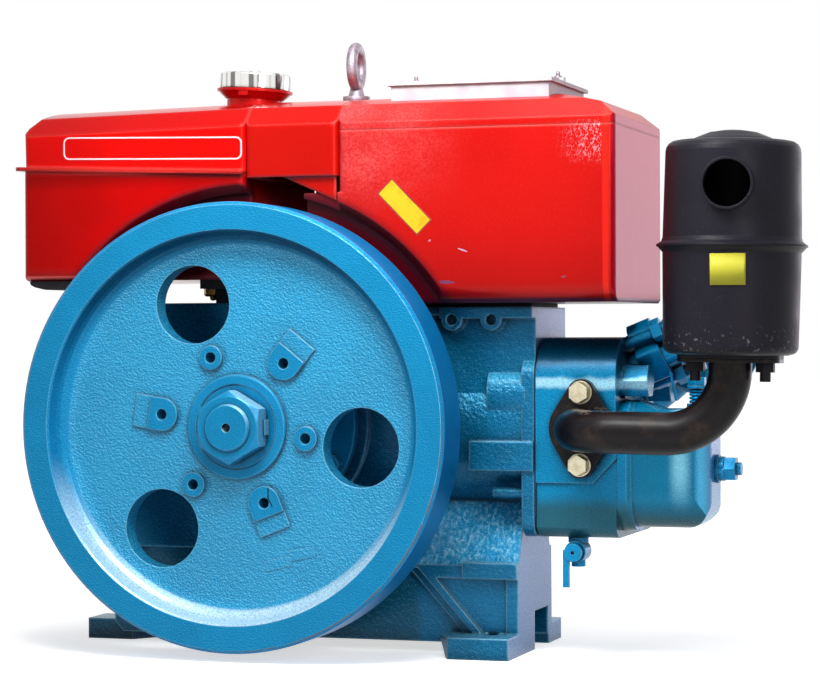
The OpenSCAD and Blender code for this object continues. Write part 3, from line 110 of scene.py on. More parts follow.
class Mat:
    """A surface whose constants go on the shader, and whose colour is built up in layers.

    x, y, z are the place at rest in the part's frame, nx, ny, up the direction that the surface faces.
    """
    IOR = 1.32
    COAT_IOR = 1.35

    def __init__(self, name, base, edge, rough=0.4, metal=0.0, coat=0.0, coat_rough=0.1, spec=0.5):
        self.material = bpy.data.materials.new(name)
        self.material.use_nodes = True
        self.tree = self.material.node_tree
        self.tree.nodes.clear()
        self.shader = self.node("BsdfPrincipled")
        self.node("OutputMaterial", {0: self.shader.outputs[0]})
        for socket, value in (("Roughness", rough), ("Metallic", metal), ("Coat Weight", coat),
                              ("Coat Roughness", coat_rough), ("Specular IOR Level", spec),
                              ("IOR", self.IOR), ("Coat IOR", self.COAT_IOR)):
            self.set(socket, value)
        self.place = self.node("TexCoord").outputs["Object"]
        self.x, self.y, self.z = self.node("SeparateXYZ", {0: self.place}).outputs
        self.facing = self.node("NewGeometry").outputs["Normal"]
        self.nx, self.ny, self.up = self.node("SeparateXYZ", {0: self.facing}).outputs
        self.soft = self.node("Bevel", {"Radius": edge}, samples=6).outputs[0]
        self.normal = self.soft
        self.set("Normal", self.normal)
        self.colour = base

    def node(self, kind, inputs=(), **settings):
        return add_node(self.tree, kind, inputs, **settings)

    def set(self, socket, value):
        put(self.tree, self.shader.inputs[socket], value)

    def layer(self, share, colour):
        """Lays colour over what is there: not at all where share is 0, and fully where it is 1."""
        self.colour = self.node("Mix", {0: share, 6: self.colour, 7: colour}, data_type="RGBA").outputs[2]
        self.set("Base Color", self.colour)

    def math(self, how, *values):
        return self.node("Math", enumerate(values), operation=how).outputs[0]

    def times(self, first, *others):
        for other in others:
            first = self.math("MULTIPLY", first, other)
        return first

    def ramp(self, value, low, high, at, to):
        """Runs smoothly from at, where value is low, to to, where it is high."""
        return self.node("MapRange", {"Value": value, "From Min": low, "From Max": high, "To Min": at,
                                      "To Max": to}, interpolation_type="SMOOTHSTEP").outputs[0]

    def rise(self, value, start, full, most=1.0):
        """0 up to start, and most from full on."""
        return self.ramp(value, start, full, 0.0, most)

    def fall(self, value, full, end, most=1.0):
        """most up to full, and 0 from end on."""
        return self.ramp(value, full, end, most, 0.0)

    def between(self, value, start, full, still, end):
        """0 up to start, 1 from full to still, and 0 again from end on."""
        return self.times(self.rise(value, start, full), self.fall(value, still, end))

    def band(self, value, middle, full, end, most=1.0):
        """most up to full away from the middle, and 0 from end away from it."""
        away = self.math("ABSOLUTE", self.math("SUBTRACT", value, middle))
        return self.fall(away, full, end, most)

    def pick(self, mask, off, on):
        """off where mask is 0, and on where it is 1."""
        return self.ramp(mask, 0.0, 1.0, off, on)

    def noise(self, size, detail=2.0, rough=0.5, place=None, stretch=None):
        """Noise whose features are about size metres across."""
        place = place or self.place
        if stretch:
            place = self.node("Mapping", {"Vector": place, "Scale": stretch}).outputs[0]
        return self.node("TexNoise", {"Vector": place, "Scale": 1.0 / size, "Detail": detail,
                                      "Roughness": rough}).outputs["Fac"]

    def radius(self):
        """The distance from the crankshaft's axis."""
        return self.math("SQRT", self.math("ADD", self.times(self.x, self.x), self.times(self.z, self.z)))

    def edges(self, low=0.02, high=0.16):
        """1 on an edge that the soft normal rounds off, 0 on the faces beside it: the mask for painted edge
        highlights.
        """
        same = self.node("VectorMath", {0: self.facing, 1: self.soft}, operation="DOT_PRODUCT")
        return self.fall(same.outputs["Value"], 1.0 - high, 1.0 - low)

    def corner_shade(self, reach):
        """1 in a tight corner, 0 in the open: the mask for painted shade in corners and recesses."""
        open_share = self.node("AmbientOcclusion", {"Distance": reach}, samples=4).outputs["AO"]
        return self.fall(open_share, 0.35, 0.95)

    def grain(self, size, light, dark, highlight_most, shade_most, detail=3.0):
        """Sand-cast grain with painted light: each bump gets a painted highlight on the side that faces up
        and right, and painted shade below. light and dark are the colours of that highlight and shade.
        """
        step = Vector((0.45, 0.0, 0.9)).normalized() * size * 0.3
        beside = self.node("VectorMath", {0: self.place, 1: step}).outputs[0]
        slope = self.math("SUBTRACT", self.noise(size, detail, 0.6), self.noise(size, detail, 0.6, beside))
        self.layer(self.times(self.rise(slope, 0.015, 0.14), highlight_most), light)
        self.layer(self.times(self.fall(slope, -0.14, -0.015), shade_most), dark)

    def roughness(self, noise, low, high):
        self.set("Roughness", self.ramp(noise, 0.3, 0.7, low, high))

    def bump(self, height, depth, strength=1.0):
        """Adds relief: height from 0 to 1, depth in metres."""
        self.normal = self.node("Bump", {"Distance": depth, "Strength": strength, "Height": height,
                                         "Normal": self.normal}).outputs[0]
        self.set("Normal", self.normal)


# ---------------------------------------------------------------- blue paints
BLUE = lin(0, 142, 198)
# painted light colours: the grain's painted highlight; a deeper tone in random patches that is also the
# grain's painted shade; painted shade in corners; painted highlight on edges
BLUE_GRAIN_HIGHLIGHT = lin(40, 182, 222)
BLUE_DEEP_AND_SHADE = lin(0, 98, 142)
BLUE_CORNER_SHADE = lin(0, 26, 40)
EDGE_HIGHLIGHT_BLUE = lin(150, 214, 238)


def blue_paint(name, grain=0.0016, depth=0.00030, light=0.35, dark=0.30, rough=0.34, edge=0.0012, coat=0.15,
               base=BLUE, edge_highlight_share=0.45):
    """Metallic sky-blue enamel over cast or turned iron, with painted highlight and shade on its grain,
    painted highlights on its edges and painted shade in its corners. light and dark are the shares of the
    grain's painted highlight and shade.
    """
    m = Mat(name, base, edge, metal=0.25, coat=coat, coat_rough=0.2, spec=0.2)
    m.layer(m.rise(m.noise(0.05, 3.0, 0.6), 0.35, 0.68, 0.35), BLUE_DEEP_AND_SHADE)
    # painted highlight and shade on the grain's bumps
    m.grain(grain, BLUE_GRAIN_HIGHLIGHT, BLUE_DEEP_AND_SHADE, light, dark)
    # painted highlight along the edges
    m.layer(m.times(m.edges(), edge_highlight_share), EDGE_HIGHLIGHT_BLUE)
    # painted shade in the corners
    m.layer(m.corner_shade(0.007), BLUE_CORNER_SHADE)
    fine = m.noise(grain, 3.0, 0.6)
    m.roughness(fine, rough - 0.06, rough + 0.08)
    m.bump(fine, depth)
    return m


def hub_paint():
    """The nut, washer and shaft end, with a painted highlight where they face up and right."""
    m = blue_paint("hub_blue", grain=0.0010, depth=0.00008, light=0.25, dark=0.25, rough=0.24, edge=0.0010,
                   coat=0.3, base=lin(0, 128, 178), edge_highlight_share=0.75)
    # painted highlight on the faces that look up and to the right
    lit = m.math("ADD", m.times(m.up, 0.8), m.times(m.nx, 0.6))
    m.layer(m.rise(lit, 0.35, 0.95, 0.75), lin(170, 224, 246))
    return m


def head_paint():
    """The cylinder head: painted shade above its upper step, a painted highlight along the step, and a dull
    grey painted shade low down.
    """
    m = blue_paint("head_blue", grain=0.0013, depth=0.00020, light=0.3, dark=0.35, rough=0.28,
                   base=lin(0, 128, 176))
    low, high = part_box("cylinder_head")
    step_z = high.z - 0.0355
    wavy = m.math("ADD", m.z, m.ramp(m.noise(0.02), 0.3, 0.7, -0.0012, 0.0012))
    # painted shade above the step
    m.layer(m.rise(wavy, step_z + 0.0025, step_z + 0.0185, 0.85), lin(0, 34, 58))
    # painted highlight along the step
    m.layer(m.band(wavy, step_z, 0.0015, 0.0060, 0.8), lin(170, 226, 246))
    # dull grey painted shade low down
    m.layer(m.fall(wavy, low.z + 0.021, low.z + 0.037, 0.85), lin(36, 84, 92))
    return m


def cover_paint():
    """The rocker cover: a dull grey painted shade low down, a painted highlight on the faces turned to the
    right and in a band where it rounds off, and painted lavender light on its right end.
    """
    m = blue_paint("cover_blue", grain=0.0012, depth=0.00010, light=0.15, dark=0.2, rough=0.24, coat=0.2,
                   base=lin(0, 110, 146))
    low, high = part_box("rocker_cover")
    bend_x = high.x - 0.022
    # dull grey painted shade low down
    m.layer(m.fall(m.z, low.z + 0.006, low.z + 0.026, 0.8), lin(40, 84, 88))
    # painted highlight on the faces that turn to the right
    m.layer(m.rise(m.nx, 0.12, 0.6, 0.8), lin(90, 196, 244))
    # painted highlight in an upright band where the cover rounds off
    upright = m.band(m.x, bend_x, 0.001, 0.011, 0.6)
    m.layer(m.times(upright, m.rise(m.z, low.z + 0.012, low.z + 0.052)), lin(150, 226, 250))
    # painted lavender light on the right end
    m.layer(m.rise(m.nx, 0.75, 0.97, 0.6), lin(96, 130, 200))
    return m


def case_paint():
    """The crankcase: fine sand-cast grain with painted highlight and shade, painted light and glints on the
    rough slopes, and a dark grainy sump.
    """
    m = Mat("case_blue", lin(0, 100, 144), 0.0030, metal=0.3, coat=0.2, coat_rough=0.15, spec=0.15)
    floor_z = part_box("crankcase")[0].z
    sump_top, sump_right = floor_z + 0.078, 0.124
    low_slope_top = floor_z + 0.132
    m.layer(m.rise(m.noise(0.05, 3.0, 0.6), 0.35, 0.68, 0.5), lin(0, 64, 98))

    # the sump, with a rusty foot
    sump = m.times(m.fall(m.z, sump_top - 0.006, sump_top), m.fall(m.x, sump_right - 0.012, sump_right))
    m.layer(m.times(sump, 0.6), lin(4, 48, 62))
    m.layer(m.times(sump, m.fall(m.z, floor_z - 0.002, floor_z + 0.022, 0.85)), lin(52, 34, 30))

    # grain, coarser on what faces up, with a painted highlight and shade on each bump
    rough_cast = m.ramp(m.up, -0.05, 0.35, 0.22, 1.0)
    coarse_share = m.times(rough_cast, 0.6)
    m.grain(0.0030, lin(110, 196, 224), lin(0, 36, 58), coarse_share, coarse_share)
    m.grain(0.0010, lin(60, 176, 214), lin(0, 50, 78), 0.42, 0.42, 2.0)

    # painted light on the right-hand faces, on the front slopes and on the tops
    m.layer(m.rise(m.nx, 0.6, 0.95, 0.75), lin(104, 144, 204))
    slope = m.times(m.rise(m.up, 0.12, 0.60), m.fall(m.ny, -0.30, -0.05))
    low = m.fall(m.z, low_slope_top - 0.010, low_slope_top)
    low_slope = m.times(slope, low)
    m.layer(m.times(low_slope, 0.8), lin(30, 168, 226))
    # painted glints in specks on the low slope
    speck = m.rise(m.noise(0.0032, 4.0, 0.66, stretch=(1.2, 0.7, 0.7)), 0.44, 0.70)
    m.layer(m.times(low_slope, speck, 0.85), lin(176, 234, 252))
    m.layer(m.rise(m.up, 0.80, 0.97, 0.45), lin(120, 200, 232))
    m.layer(m.times(slope, m.math("SUBTRACT", 1.0, low), 0.5), lin(70, 176, 216))

    # painted highlight along the edges, stronger low down
    edge_highlight_share = m.ramp(m.z, sump_top - 0.006, sump_top, 0.8, 0.42)
    m.layer(m.times(m.edges(0.01, 0.25), edge_highlight_share), EDGE_HIGHLIGHT_BLUE)
    # painted shade in the corners
    m.layer(m.times(m.corner_shade(0.012), 0.7), lin(2, 20, 30))
    fine = m.noise(0.0009, 2.0, 0.55)
    m.roughness(fine, 0.22, 0.36)
    m.bump(m.noise(0.0030, 4.0, 0.62), 0.0016, m.ramp(rough_cast, 0.2, 1.0, 0.10, 1.0))
    m.bump(fine, 0.00014)
    return m


def flywheel_paint():
    """The wheel: a grainy web, a finer rim and smooth turned faces, with painted highlight and shade on the
    grain, painted edge highlights and glints, and painted shade in the corners.
    """
    m = Mat("wheel_blue", lin(0, 124, 176), 0.0014, metal=0.25, coat_rough=0.22, spec=0.15)
    radius = m.radius()
    rim_r = WHEEL_R - 0.021
    rim_front = 0.0
    web = m.times(m.fall(radius, rim_r - 0.0040, rim_r), m.rise(m.y, rim_front + 0.0008, rim_front + 0.0026))
    m.layer(web, lin(0, 140, 192))
    m.layer(m.rise(m.noise(0.06, 3.0, 0.6), 0.38, 0.66, 0.3), BLUE_DEEP_AND_SHADE)
    # painted highlight and shade on the grain's bumps
    m.grain(0.0015, lin(100, 206, 238), lin(0, 62, 96), m.pick(web, 0.22, 0.9), m.pick(web, 0.24, 0.8), 4.0)
    m.grain(0.0009, lin(60, 186, 226), lin(0, 76, 114), 0.42, 0.40, 2.0)
    wheel_edges(m, radius)
    wheel_fillet(m, radius, rim_r)
    lug_crack(m)
    # painted shade in the corners
    m.layer(m.corner_shade(0.006), BLUE_CORNER_SHADE)
    m.set("Coat Weight", m.pick(web, 0.12, 0.9))
    fine = m.noise(0.0007, 2.0, 0.55)
    m.roughness(fine, 0.28, 0.40)
    m.bump(m.noise(0.0018, 3.0, 0.62), 0.0006, m.pick(web, 0.12, 1.0))
    m.bump(fine, 0.00010)
    m.set("Coat Normal", m.normal)
    return m


def wheel_edges(m, radius):
    """Painted highlights on the edges, white where the rim's edge faces up, a worn line low on the right,
    and a deeper rim.
    """
    edge = m.edges()
    # painted highlight along the edges
    m.layer(m.times(edge, 0.55), EDGE_HIGHLIGHT_BLUE)
    lit = m.rise(m.math("ADD", m.nx, m.up), 0.15, 0.6)
    outer = m.rise(radius, WHEEL_R - 0.015, WHEEL_R - 0.009)
    # white painted highlight where the rim's outer edge faces up and to the right
    m.layer(m.times(m.rise(edge, 0.2, 0.6), lit, outer, 0.85), lin(236, 246, 252))
    low_right = m.times(m.rise(m.x, -0.02, 0.06), m.fall(m.z, -0.06, 0.02))
    worn = m.times(m.band(radius, WHEEL_R - 0.0021, 0.0004, 0.0012), low_right)
    m.layer(m.times(worn, m.rise(m.noise(0.02, 3.0), 0.42, 0.55), 0.5), lin(116, 96, 84))
    m.layer(m.rise(radius, WHEEL_R - 0.0012, WHEEL_R - 0.0002, 0.55), lin(0, 118, 196))


def wheel_fillet(m, radius, rim_r):
    """The fillet from web to rim gets painted glints where it faces up, and painted shade where it faces
    down.
    """
    fillet = m.between(radius, rim_r - 0.0135, rim_r - 0.0090, rim_r + 0.0005, rim_r + 0.0020)
    speck = m.ramp(m.noise(0.0014, 3.0, 0.7), 0.38, 0.58, 0.5, 1.0)
    # painted glints where the fillet faces up
    m.layer(m.times(fillet, m.rise(m.up, 0.12, 0.55), speck, 0.85), lin(206, 234, 246))
    # painted shade where the fillet faces down
    m.layer(m.times(fillet, m.fall(m.up, -0.75, -0.15), 0.7), lin(0, 40, 66))


def lug_crack(m):
    """The thin crack beside the lower lug, which leans to the left as it climbs."""
    foot_z, tip_z = -0.0622, -0.0462
    foot_x, bend_x = 0.0298, 0.0267
    course = m.ramp(m.z, foot_z + 0.0009, foot_z + 0.0077, foot_x, bend_x)
    length = m.between(m.z, foot_z, foot_z + 0.0010, tip_z - 0.0010, tip_z)
    m.layer(m.times(m.band(m.x, course, 0.0003, 0.0007), length), lin(2, 14, 22))


# ---------------------------------------------------------------- red paints
# the colour of the painted highlights on red edges and bends
EDGE_HIGHLIGHT_RED = lin(255, 120, 110)

CHIPS = (  # middle in x and z, half length and half width, turn, colour
    ((0.1628, 0.1118), (0.0066, 0.0014), 0.0, lin(0, 84, 130)),
    ((0.1764, 0.1364), (0.0052, 0.0005), -0.34, lin(190, 170, 200)),
    ((0.2560, 0.1150), (0.0022, 0.0008), 0.2, lin(120, 90, 110)),
    ((0.1500, 0.1440), (0.0014, 0.0008), 0.5, lin(200, 120, 130)),
)


def red_paint(name, base, light, deep, rough=0.2, coat=0.15, coat_rough=0.06, metal=0.35, grain=0.0014,
              depth=0.00003, edge=0.002):
    """Deep metallic red enamel on sheet steel, with painted highlights on its edges."""
    m = Mat(name, base, edge, rough, metal, coat, coat_rough, spec=0.12)
    m.layer(m.rise(m.noise(0.09), 0.36, 0.66, 0.45), deep)
    fine = m.noise(grain)
    m.layer(m.rise(fine, 0.54, 0.74, 0.22), light)
    # painted highlight along the edges
    m.layer(m.times(m.edges(), 0.35), EDGE_HIGHLIGHT_RED)
    m.bump(fine, depth)
    m.bump(m.noise(0.012), 0.00006)
    return m


def arch_shade(m):
    """The wheel's shadow round its hollow, on the front of tank and hopper alone."""
    near = m.fall(m.radius(), WHEEL_R + 0.011, WHEEL_R + 0.023, 0.88)
    front = m.fall(m.y, 0.044, 0.056)
    m.layer(m.times(near, front), lin(48, 2, 20))


def tank_paint(name, base, light, deep, coat, coat_rough, edge, left_shade):
    """The tank: painted shade to the left, under the seam and on top, with a painted highlight along its
    lower bend.
    """
    m = red_paint(name, base, light, deep, coat=coat, coat_rough=coat_rough, edge=edge)
    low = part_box("tank_lower")[0]
    seam = 0.2000
    # painted shade, deeper to the left
    m.layer(m.fall(m.x, low.x + 0.004, low.x + 0.114, left_shade), lin(104, 0, 0))
    # painted shade under the seam
    m.layer(m.times(m.between(m.z, seam - 0.014, seam - 0.001, seam, seam + 0.001), 0.45), lin(96, 0, 0))
    # painted highlight along the lower bend
    m.layer(m.band(m.z, low.z + 0.0025, 0.0008, 0.0020, 0.5), EDGE_HIGHLIGHT_RED)
    arch_shade(m)
    # painted shade on the faces that look up
    m.layer(m.rise(m.up, 0.10, 0.60, 0.5), lin(140, 0, 2))
    return m


def chip(m, front, middle, half, turn, shade):
    """An oval spot with a ragged edge where the paint is knocked off."""
    dx = m.math("SUBTRACT", m.x, middle[0])
    dz = m.math("SUBTRACT", m.z, middle[1])
    along = m.math("ADD", m.times(dx, cos(turn)), m.times(dz, sin(turn)))
    across = m.math("SUBTRACT", m.times(dz, cos(turn)), m.times(dx, sin(turn)))
    u = m.math("DIVIDE", along, half[0])
    v = m.math("DIVIDE", across, half[1])
    far = m.math("ADD", m.times(u, u), m.times(v, v))
    ragged = m.math("ADD", far, m.ramp(m.noise(0.003), 0.2, 0.8, -0.5, 0.5))
    m.layer(m.times(m.fall(ragged, 0.8, 1.1), front), shade)


def hopper_paint():
    """The hopper: painted shade towards the bottom, mottled at the upper left, crackled at the upper right,
    and dull on its right side, with a painted magenta reflection tint in streaks there.
    """
    m = red_paint("hopper_red", lin(184, 8, 3), lin(214, 48, 36), lin(166, 2, 1), rough=0.34, coat=0.3,
                  coat_rough=0.2, metal=0.3, grain=0.0012, depth=0.00008, edge=0.0030)
    low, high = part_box("hopper_shell")
    front = m.fall(m.y, low.y + 0.008, low.y + 0.012)
    for middle, half, turn, shade in CHIPS:
        chip(m, front, middle, half, turn, shade)
    # painted shade, deeper towards the bottom
    m.layer(m.fall(m.z, low.z + 0.002, low.z + 0.064, 0.6), lin(150, 3, 1))
    mottle = m.times(m.ramp(m.noise(0.030, 3.0), 0.36, 0.66, 0.35, 0.7),
                     m.ramp(m.noise(0.0016, 3.0, 0.65), 0.40, 0.62, 0.35, 1.0))
    m.layer(m.times(mottle, m.fall(m.x, 0.090, 0.190), m.rise(m.z, 0.150, 0.225)), lin(220, 92, 92))

    side = m.rise(m.nx, 0.55, 0.9)
    streak = m.ramp(m.noise(0.004, stretch=(1.0, 1.0, 0.05)), 0.4, 0.6, 0.7, 0.95)
    # painted magenta reflection tint in streaks on the right side
    m.layer(m.times(side, streak), lin(172, 16, 56))
    m.set("Coat Weight", m.pick(side, 0.3, 0.12))

    # painted shade along the lower edge, a painted highlight on the corner to the right side, the wheel's
    # painted shadow, and the crackle
    m.layer(m.fall(m.z, low.z + 0.0025, low.z + 0.0040, 0.8), lin(70, 20, 50))
    m.layer(m.times(front, m.band(m.x, high.x - 0.0070, 0.0015, 0.0030, 0.5)), lin(236, 40, 24))
    arch_shade(m)
    patch = m.times(m.between(m.x, high.x - 0.048, high.x - 0.012, high.x - 0.011, high.x - 0.009),
                    m.between(m.z, high.z - 0.033, high.z - 0.017, high.z - 0.003, high.z + 0.005))
    vein = m.rise(m.noise(0.0019, 4.0, 0.75, stretch=(1.5, 1.0, 0.8)), 0.51, 0.60)
    m.layer(m.times(patch, front, vein, 0.6), lin(236, 176, 186))
    return m


# ---------------------------------------------------------------- black paint, metal and the rest
def black_paint(name, base=lin(27, 25, 33), rough=0.40, rust=0.0):
    """Black stove paint, with painted shade underneath and to the left. rust is the most that shows through.
    """
    m = Mat(name, base, 0.0012, spec=0.25)
    wide = m.noise(0.04, 3.0, 0.6)
    m.layer(m.rise(wide, 0.4, 0.68, 0.4), lin(18, 16, 22))
    if rust:
        m.layer(m.rise(m.noise(0.018, 4.0, 0.65), 0.52, 0.72, rust), lin(82, 66, 52))
    # painted shade on the faces that look down and to the left
    m.layer(m.fall(m.up, -0.9, -0.2, 0.8), lin(6, 4, 4))
    m.layer(m.fall(m.nx, -0.9, -0.3, 0.7), lin(8, 4, 6))
    fine = m.noise(0.0011)
    m.layer(m.rise(fine, 0.6, 0.78, 0.25), lin(84, 82, 94))
    m.roughness(wide, rough - 0.05, rough + 0.07)
    m.bump(fine, 0.00005)
    return m


def silencer_paint():
    """The silencer, with specks of dust on the rounding of its foot."""
    m = black_paint("silencer_black")
    foot_z = 0.054
    foot = m.between(m.z, foot_z, foot_z + 0.006, foot_z + 0.010, foot_z + 0.026)
    m.layer(m.times(m.rise(m.noise(0.0030), 0.62, 0.70), foot, 0.5), lin(132, 132, 144))
    return m


def pipe_paint():
    """The exhaust pipe, rusty with a worn patch near its flange."""
    m = black_paint("pipe_black", lin(24, 21, 22), rough=0.30, rust=0.3)
    patch_x, patch_z = 0.2775, 0.0132
    patch = m.times(m.band(m.x, patch_x, 0.003, 0.006), m.band(m.z, patch_z, 0.0008, 0.0024))
    m.layer(m.times(patch, m.rise(m.noise(0.0020, 3.0), 0.45, 0.60), 0.6), lin(126, 112, 100))
    return m


def metal_finish(name, base, dark, rough, metal=1.0, grain=0.0008, depth=0.00003, edge=0.0006, wear=0.4):
    """Bare or plated metal, duller in spots, with painted shade in its corners."""
    m = Mat(name, base, edge, metal=metal)
    wide = m.noise(0.006, 3.0, 0.6)
    m.layer(m.rise(wide, 0.4, 0.7, wear), dark)
    # painted shade in the corners
    m.layer(m.corner_shade(0.003), lin(20, 18, 16))
    m.roughness(wide, rough - 0.05, rough + 0.10)
    m.bump(m.noise(grain), depth)
    return m


def chrome_finish():
    """Bright plating whose side shows upright darker bands, painted reflections such as a polished ring
    shows, and painted shade in its corners.
    """
    m = Mat("bright_chrome", lin(240, 240, 236), 0.0012, rough=0.12, metal=1.0)
    low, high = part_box("fuel_cap")
    turn = m.math("ARCTAN2", m.math("SUBTRACT", m.y, (low.y + high.y) / 2),
                  m.math("SUBTRACT", m.x, (low.x + high.x) / 2))
    wave = m.math("ADD", m.math("SINE", m.times(turn, 9.0)),
                  m.math("SINE", m.math("MULTIPLY_ADD", turn, 23.0, 1.0)))
    side = m.fall(m.z, high.z - 0.0035, high.z - 0.0020)
    # painted dark reflections in upright bands on the side
    m.layer(m.times(m.rise(wave, -0.2, 1.0), side, 0.85), lin(96, 88, 90))
    # painted shade in the corners
    m.layer(m.corner_shade(0.003), lin(40, 30, 30))
    m.bump(m.noise(0.004), 0.00002)
    return m


def plain_finish(name, base, shade, rough, grain=0.001, depth=0.00005, patch=0.02):
    """Rubber, gasket, plastic or print: two shades in soft patches, and a fine grain."""
    m = Mat(name, base, 0.0006, spec=0.4)
    m.layer(m.rise(m.noise(patch, 3.0), 0.4, 0.66), shade)
    fine = m.noise(grain)
    m.roughness(fine, rough - 0.06, rough + 0.08)
    m.bump(fine, depth)
    return m


# ---------------------------------------------------------------- who wears what
WEARERS = {
    "case": ("crankcase",),
    "cast": ("bearing_cover", "end_cover", "gear_case_cover", "intake_elbow"),
    "fitting": ("rocker_cover_bolt", "injector", "injector_clamp", "injector_studs", "injection_pump",
                "fuel_pipe", "decompression_stud", "drain_cock", "drain_lever"),
    "wheel": ("flywheel",),
    "hub": ("crankshaft_end", "tab_washer", "flywheel_nut"),
    "painted_gasket": ("head_gasket",),
    "head": ("cylinder_head",),
    "cover": ("rocker_cover", "air_cleaner"),
    "pipe": ("exhaust_elbow",),
    "silencer": ("silencer_lower", "silencer_upper"),
    "dull_black": ("silencer_studs", "tank_bracket"),
    "zinc": ("exhaust_bolts", "fuel_tap"),
    "steel": ("starting_shaft", "speed_lever"),
    "forged": ("lifting_eye",),
    "chrome": ("fuel_cap",),
    "pale_sheet": ("hopper_collar", "hopper_lid"),
    "gasket": ("hopper_gasket",),
    "rubber": ("tank_strips",),
    "plastic": ("dipstick",),
    "hopper": ("hopper_shell", "hopper_roof"),
    "tank_low": ("tank_lower",),
    "tank_top": ("tank_upper",),
    "bridge": ("bridge_cover",),
    "neck": ("filler_neck",),
}


def make_materials():
    """Every material, by the name that WEARERS and the pieces made here call it."""
    return {
        "case": case_paint(),
        "cast": blue_paint("cast_blue"),
        "fitting": blue_paint("fitting_blue", grain=0.0010, depth=0.00010, light=0.2, dark=0.2, rough=0.26,
                              edge=0.0008, coat=0.2),
        "wheel": flywheel_paint(),
        "hub": hub_paint(),
        "painted_gasket": plain_finish("painted_gasket", lin(0, 74, 106), lin(0, 50, 76), 0.45),
        "head": head_paint(),
        "cover": cover_paint(),
        "pipe": pipe_paint(),
        "silencer": silencer_paint(),
        "dull_black": black_paint("bracket_black", lin(30, 30, 34), rough=0.5),
        "zinc": metal_finish("yellow_zinc", lin(206, 198, 172), lin(140, 120, 78), 0.34),
        "steel": metal_finish("turned_steel", lin(176, 178, 184), lin(120, 118, 120), 0.3),
        "forged": metal_finish("forged_grey", lin(168, 156, 166), lin(104, 92, 100), 0.42, metal=0.8,
                               grain=0.0012, depth=0.00012, edge=0.001, wear=0.7),
        "brass": metal_finish("brass", lin(206, 170, 96), lin(130, 96, 44), 0.3),
        "chrome": chrome_finish(),
        "pale_sheet": plain_finish("pale_sheet", lin(186, 185, 188), lin(168, 166, 174), 0.42),
        "gasket": plain_finish("black_gasket", lin(22, 22, 26), lin(12, 12, 14), 0.62),
        "rubber": plain_finish("black_rubber", lin(24, 22, 24), lin(14, 12, 14), 0.7, depth=0.00012),
        "plastic": plain_finish("black_plastic", lin(26, 26, 28), lin(16, 16, 18), 0.45, grain=0.0006),
        "hopper": hopper_paint(),
        "tank_low": tank_paint("tank_red", lin(206, 0, 0), lin(226, 14, 4), lin(160, 0, 0), coat=0.1,
                               coat_rough=0.05, edge=0.006, left_shade=0.55),
        "tank_top": tank_paint("tank_top_red", lin(224, 4, 1), lin(248, 34, 18), lin(198, 0, 0), coat=0.15,
                               coat_rough=0.07, edge=0.004, left_shade=0.3),
        "bridge": red_paint("bridge_red", lin(190, 14, 5), lin(224, 50, 32), lin(172, 6, 2), coat=0.15,
                            coat_rough=0.07, edge=0.004),
        "neck": red_paint("neck_red", lin(180, 14, 16), lin(240, 90, 80), lin(130, 4, 6), edge=0.0008),
        "line": plain_finish("outline_white", lin(236, 214, 214), lin(226, 196, 198), 0.4),
        "sticker": plain_finish("sticker_yellow", lin(222, 172, 30), lin(208, 156, 22), 0.45, patch=0.008),
        "sticker_edge": plain_finish("sticker_edge", lin(150, 60, 48), lin(120, 40, 36), 0.5),
        "lemon": plain_finish("sticker_lemon", lin(204, 200, 68), lin(194, 188, 56), 0.5, patch=0.03),
    }


def dress_nodes(mats):
    """Gives every CAD node its material. A node that WEARERS leaves out stops the script."""
    worn = {name: mats[kind] for kind, names in WEARERS.items() for name in names}
    for name, obj in nodes.items():
        obj.data.materials.clear()
        obj.data.materials.append(worn[name].material)


# ---------------------------------------------------------------- mesh helpers
def add_piece(name, data, m, body):
    """Puts a new mesh or curve in the scene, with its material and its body."""
    obj = bpy.data.objects.new(name, data)
    bpy.context.scene.collection.objects.link(obj)
    data.materials.append(m.material)
    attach(obj, body)
    return obj


def piece(name, mesh_maker, m, body="engine", bevel=0.0):
    """A new piece from bmesh code."""
    data = bpy.data.meshes.new(name)
    bm = bmesh.new()
    mesh_maker(bm)
    bmesh.ops.recalc_face_normals(bm, faces=bm.faces)
    bm.to_mesh(data)
    bm.free()
    for face in data.polygons:
        face.use_smooth = True
    data.set_sharp_from_angle(angle=radians(32))
    obj = add_piece(name, data, m, body)
    if bevel:
        mod = obj.modifiers.new("edge", "BEVEL")
        mod.width = bevel
        mod.segments = 2
        mod.limit_method = "ANGLE"
        mod.angle_limit = radians(40)
    return obj


def tube(name, points, radius, m, body="engine"):
    """A bent rod or pipe along points, smoothed."""
    data = bpy.data.curves.new(name, "CURVE")
    data.dimensions = "3D"
    data.bevel_depth = radius
    data.bevel_resolution = 5
    data.use_fill_caps = True
    line = data.splines.new("NURBS")
    line.points.add(len(points) - 1)
    for p, q in zip(line.points, points):
        p.co = (*q, 1.0)
    line.use_endpoint_u = True
    line.order_u = 3
    line.resolution_u = 8
    return add_piece(name, data, m, body)


def skin(bm, rings):
    """Joins each closed ring of points to the next with quads."""
    for a, b in zip(rings, rings[1:]):
        for i in range(len(a)):
            j = (i + 1) % len(a)
            bm.faces.new((a[i], a[j], b[j], b[i]))


def slab(bm, outline, normal, thick):
    """A flat plate: outline points in order, pushed out by thick along normal."""
    out = Vector(normal).normalized() * thick
    low = [bm.verts.new(Vector(p)) for p in outline]
    high = [bm.verts.new(Vector(p) + out) for p in outline]
    bm.faces.new(low)
    bm.faces.new(high)
    skin(bm, [low, high])


def block(bm, low, high):
    """A box between two corners."""
    x0, y0, z0 = low
    x1, y1, z1 = high
    slab(bm, [(x0, y0, z0), (x1, y0, z0), (x1, y1, z0), (x0, y1, z0)], UP, z1 - z0)


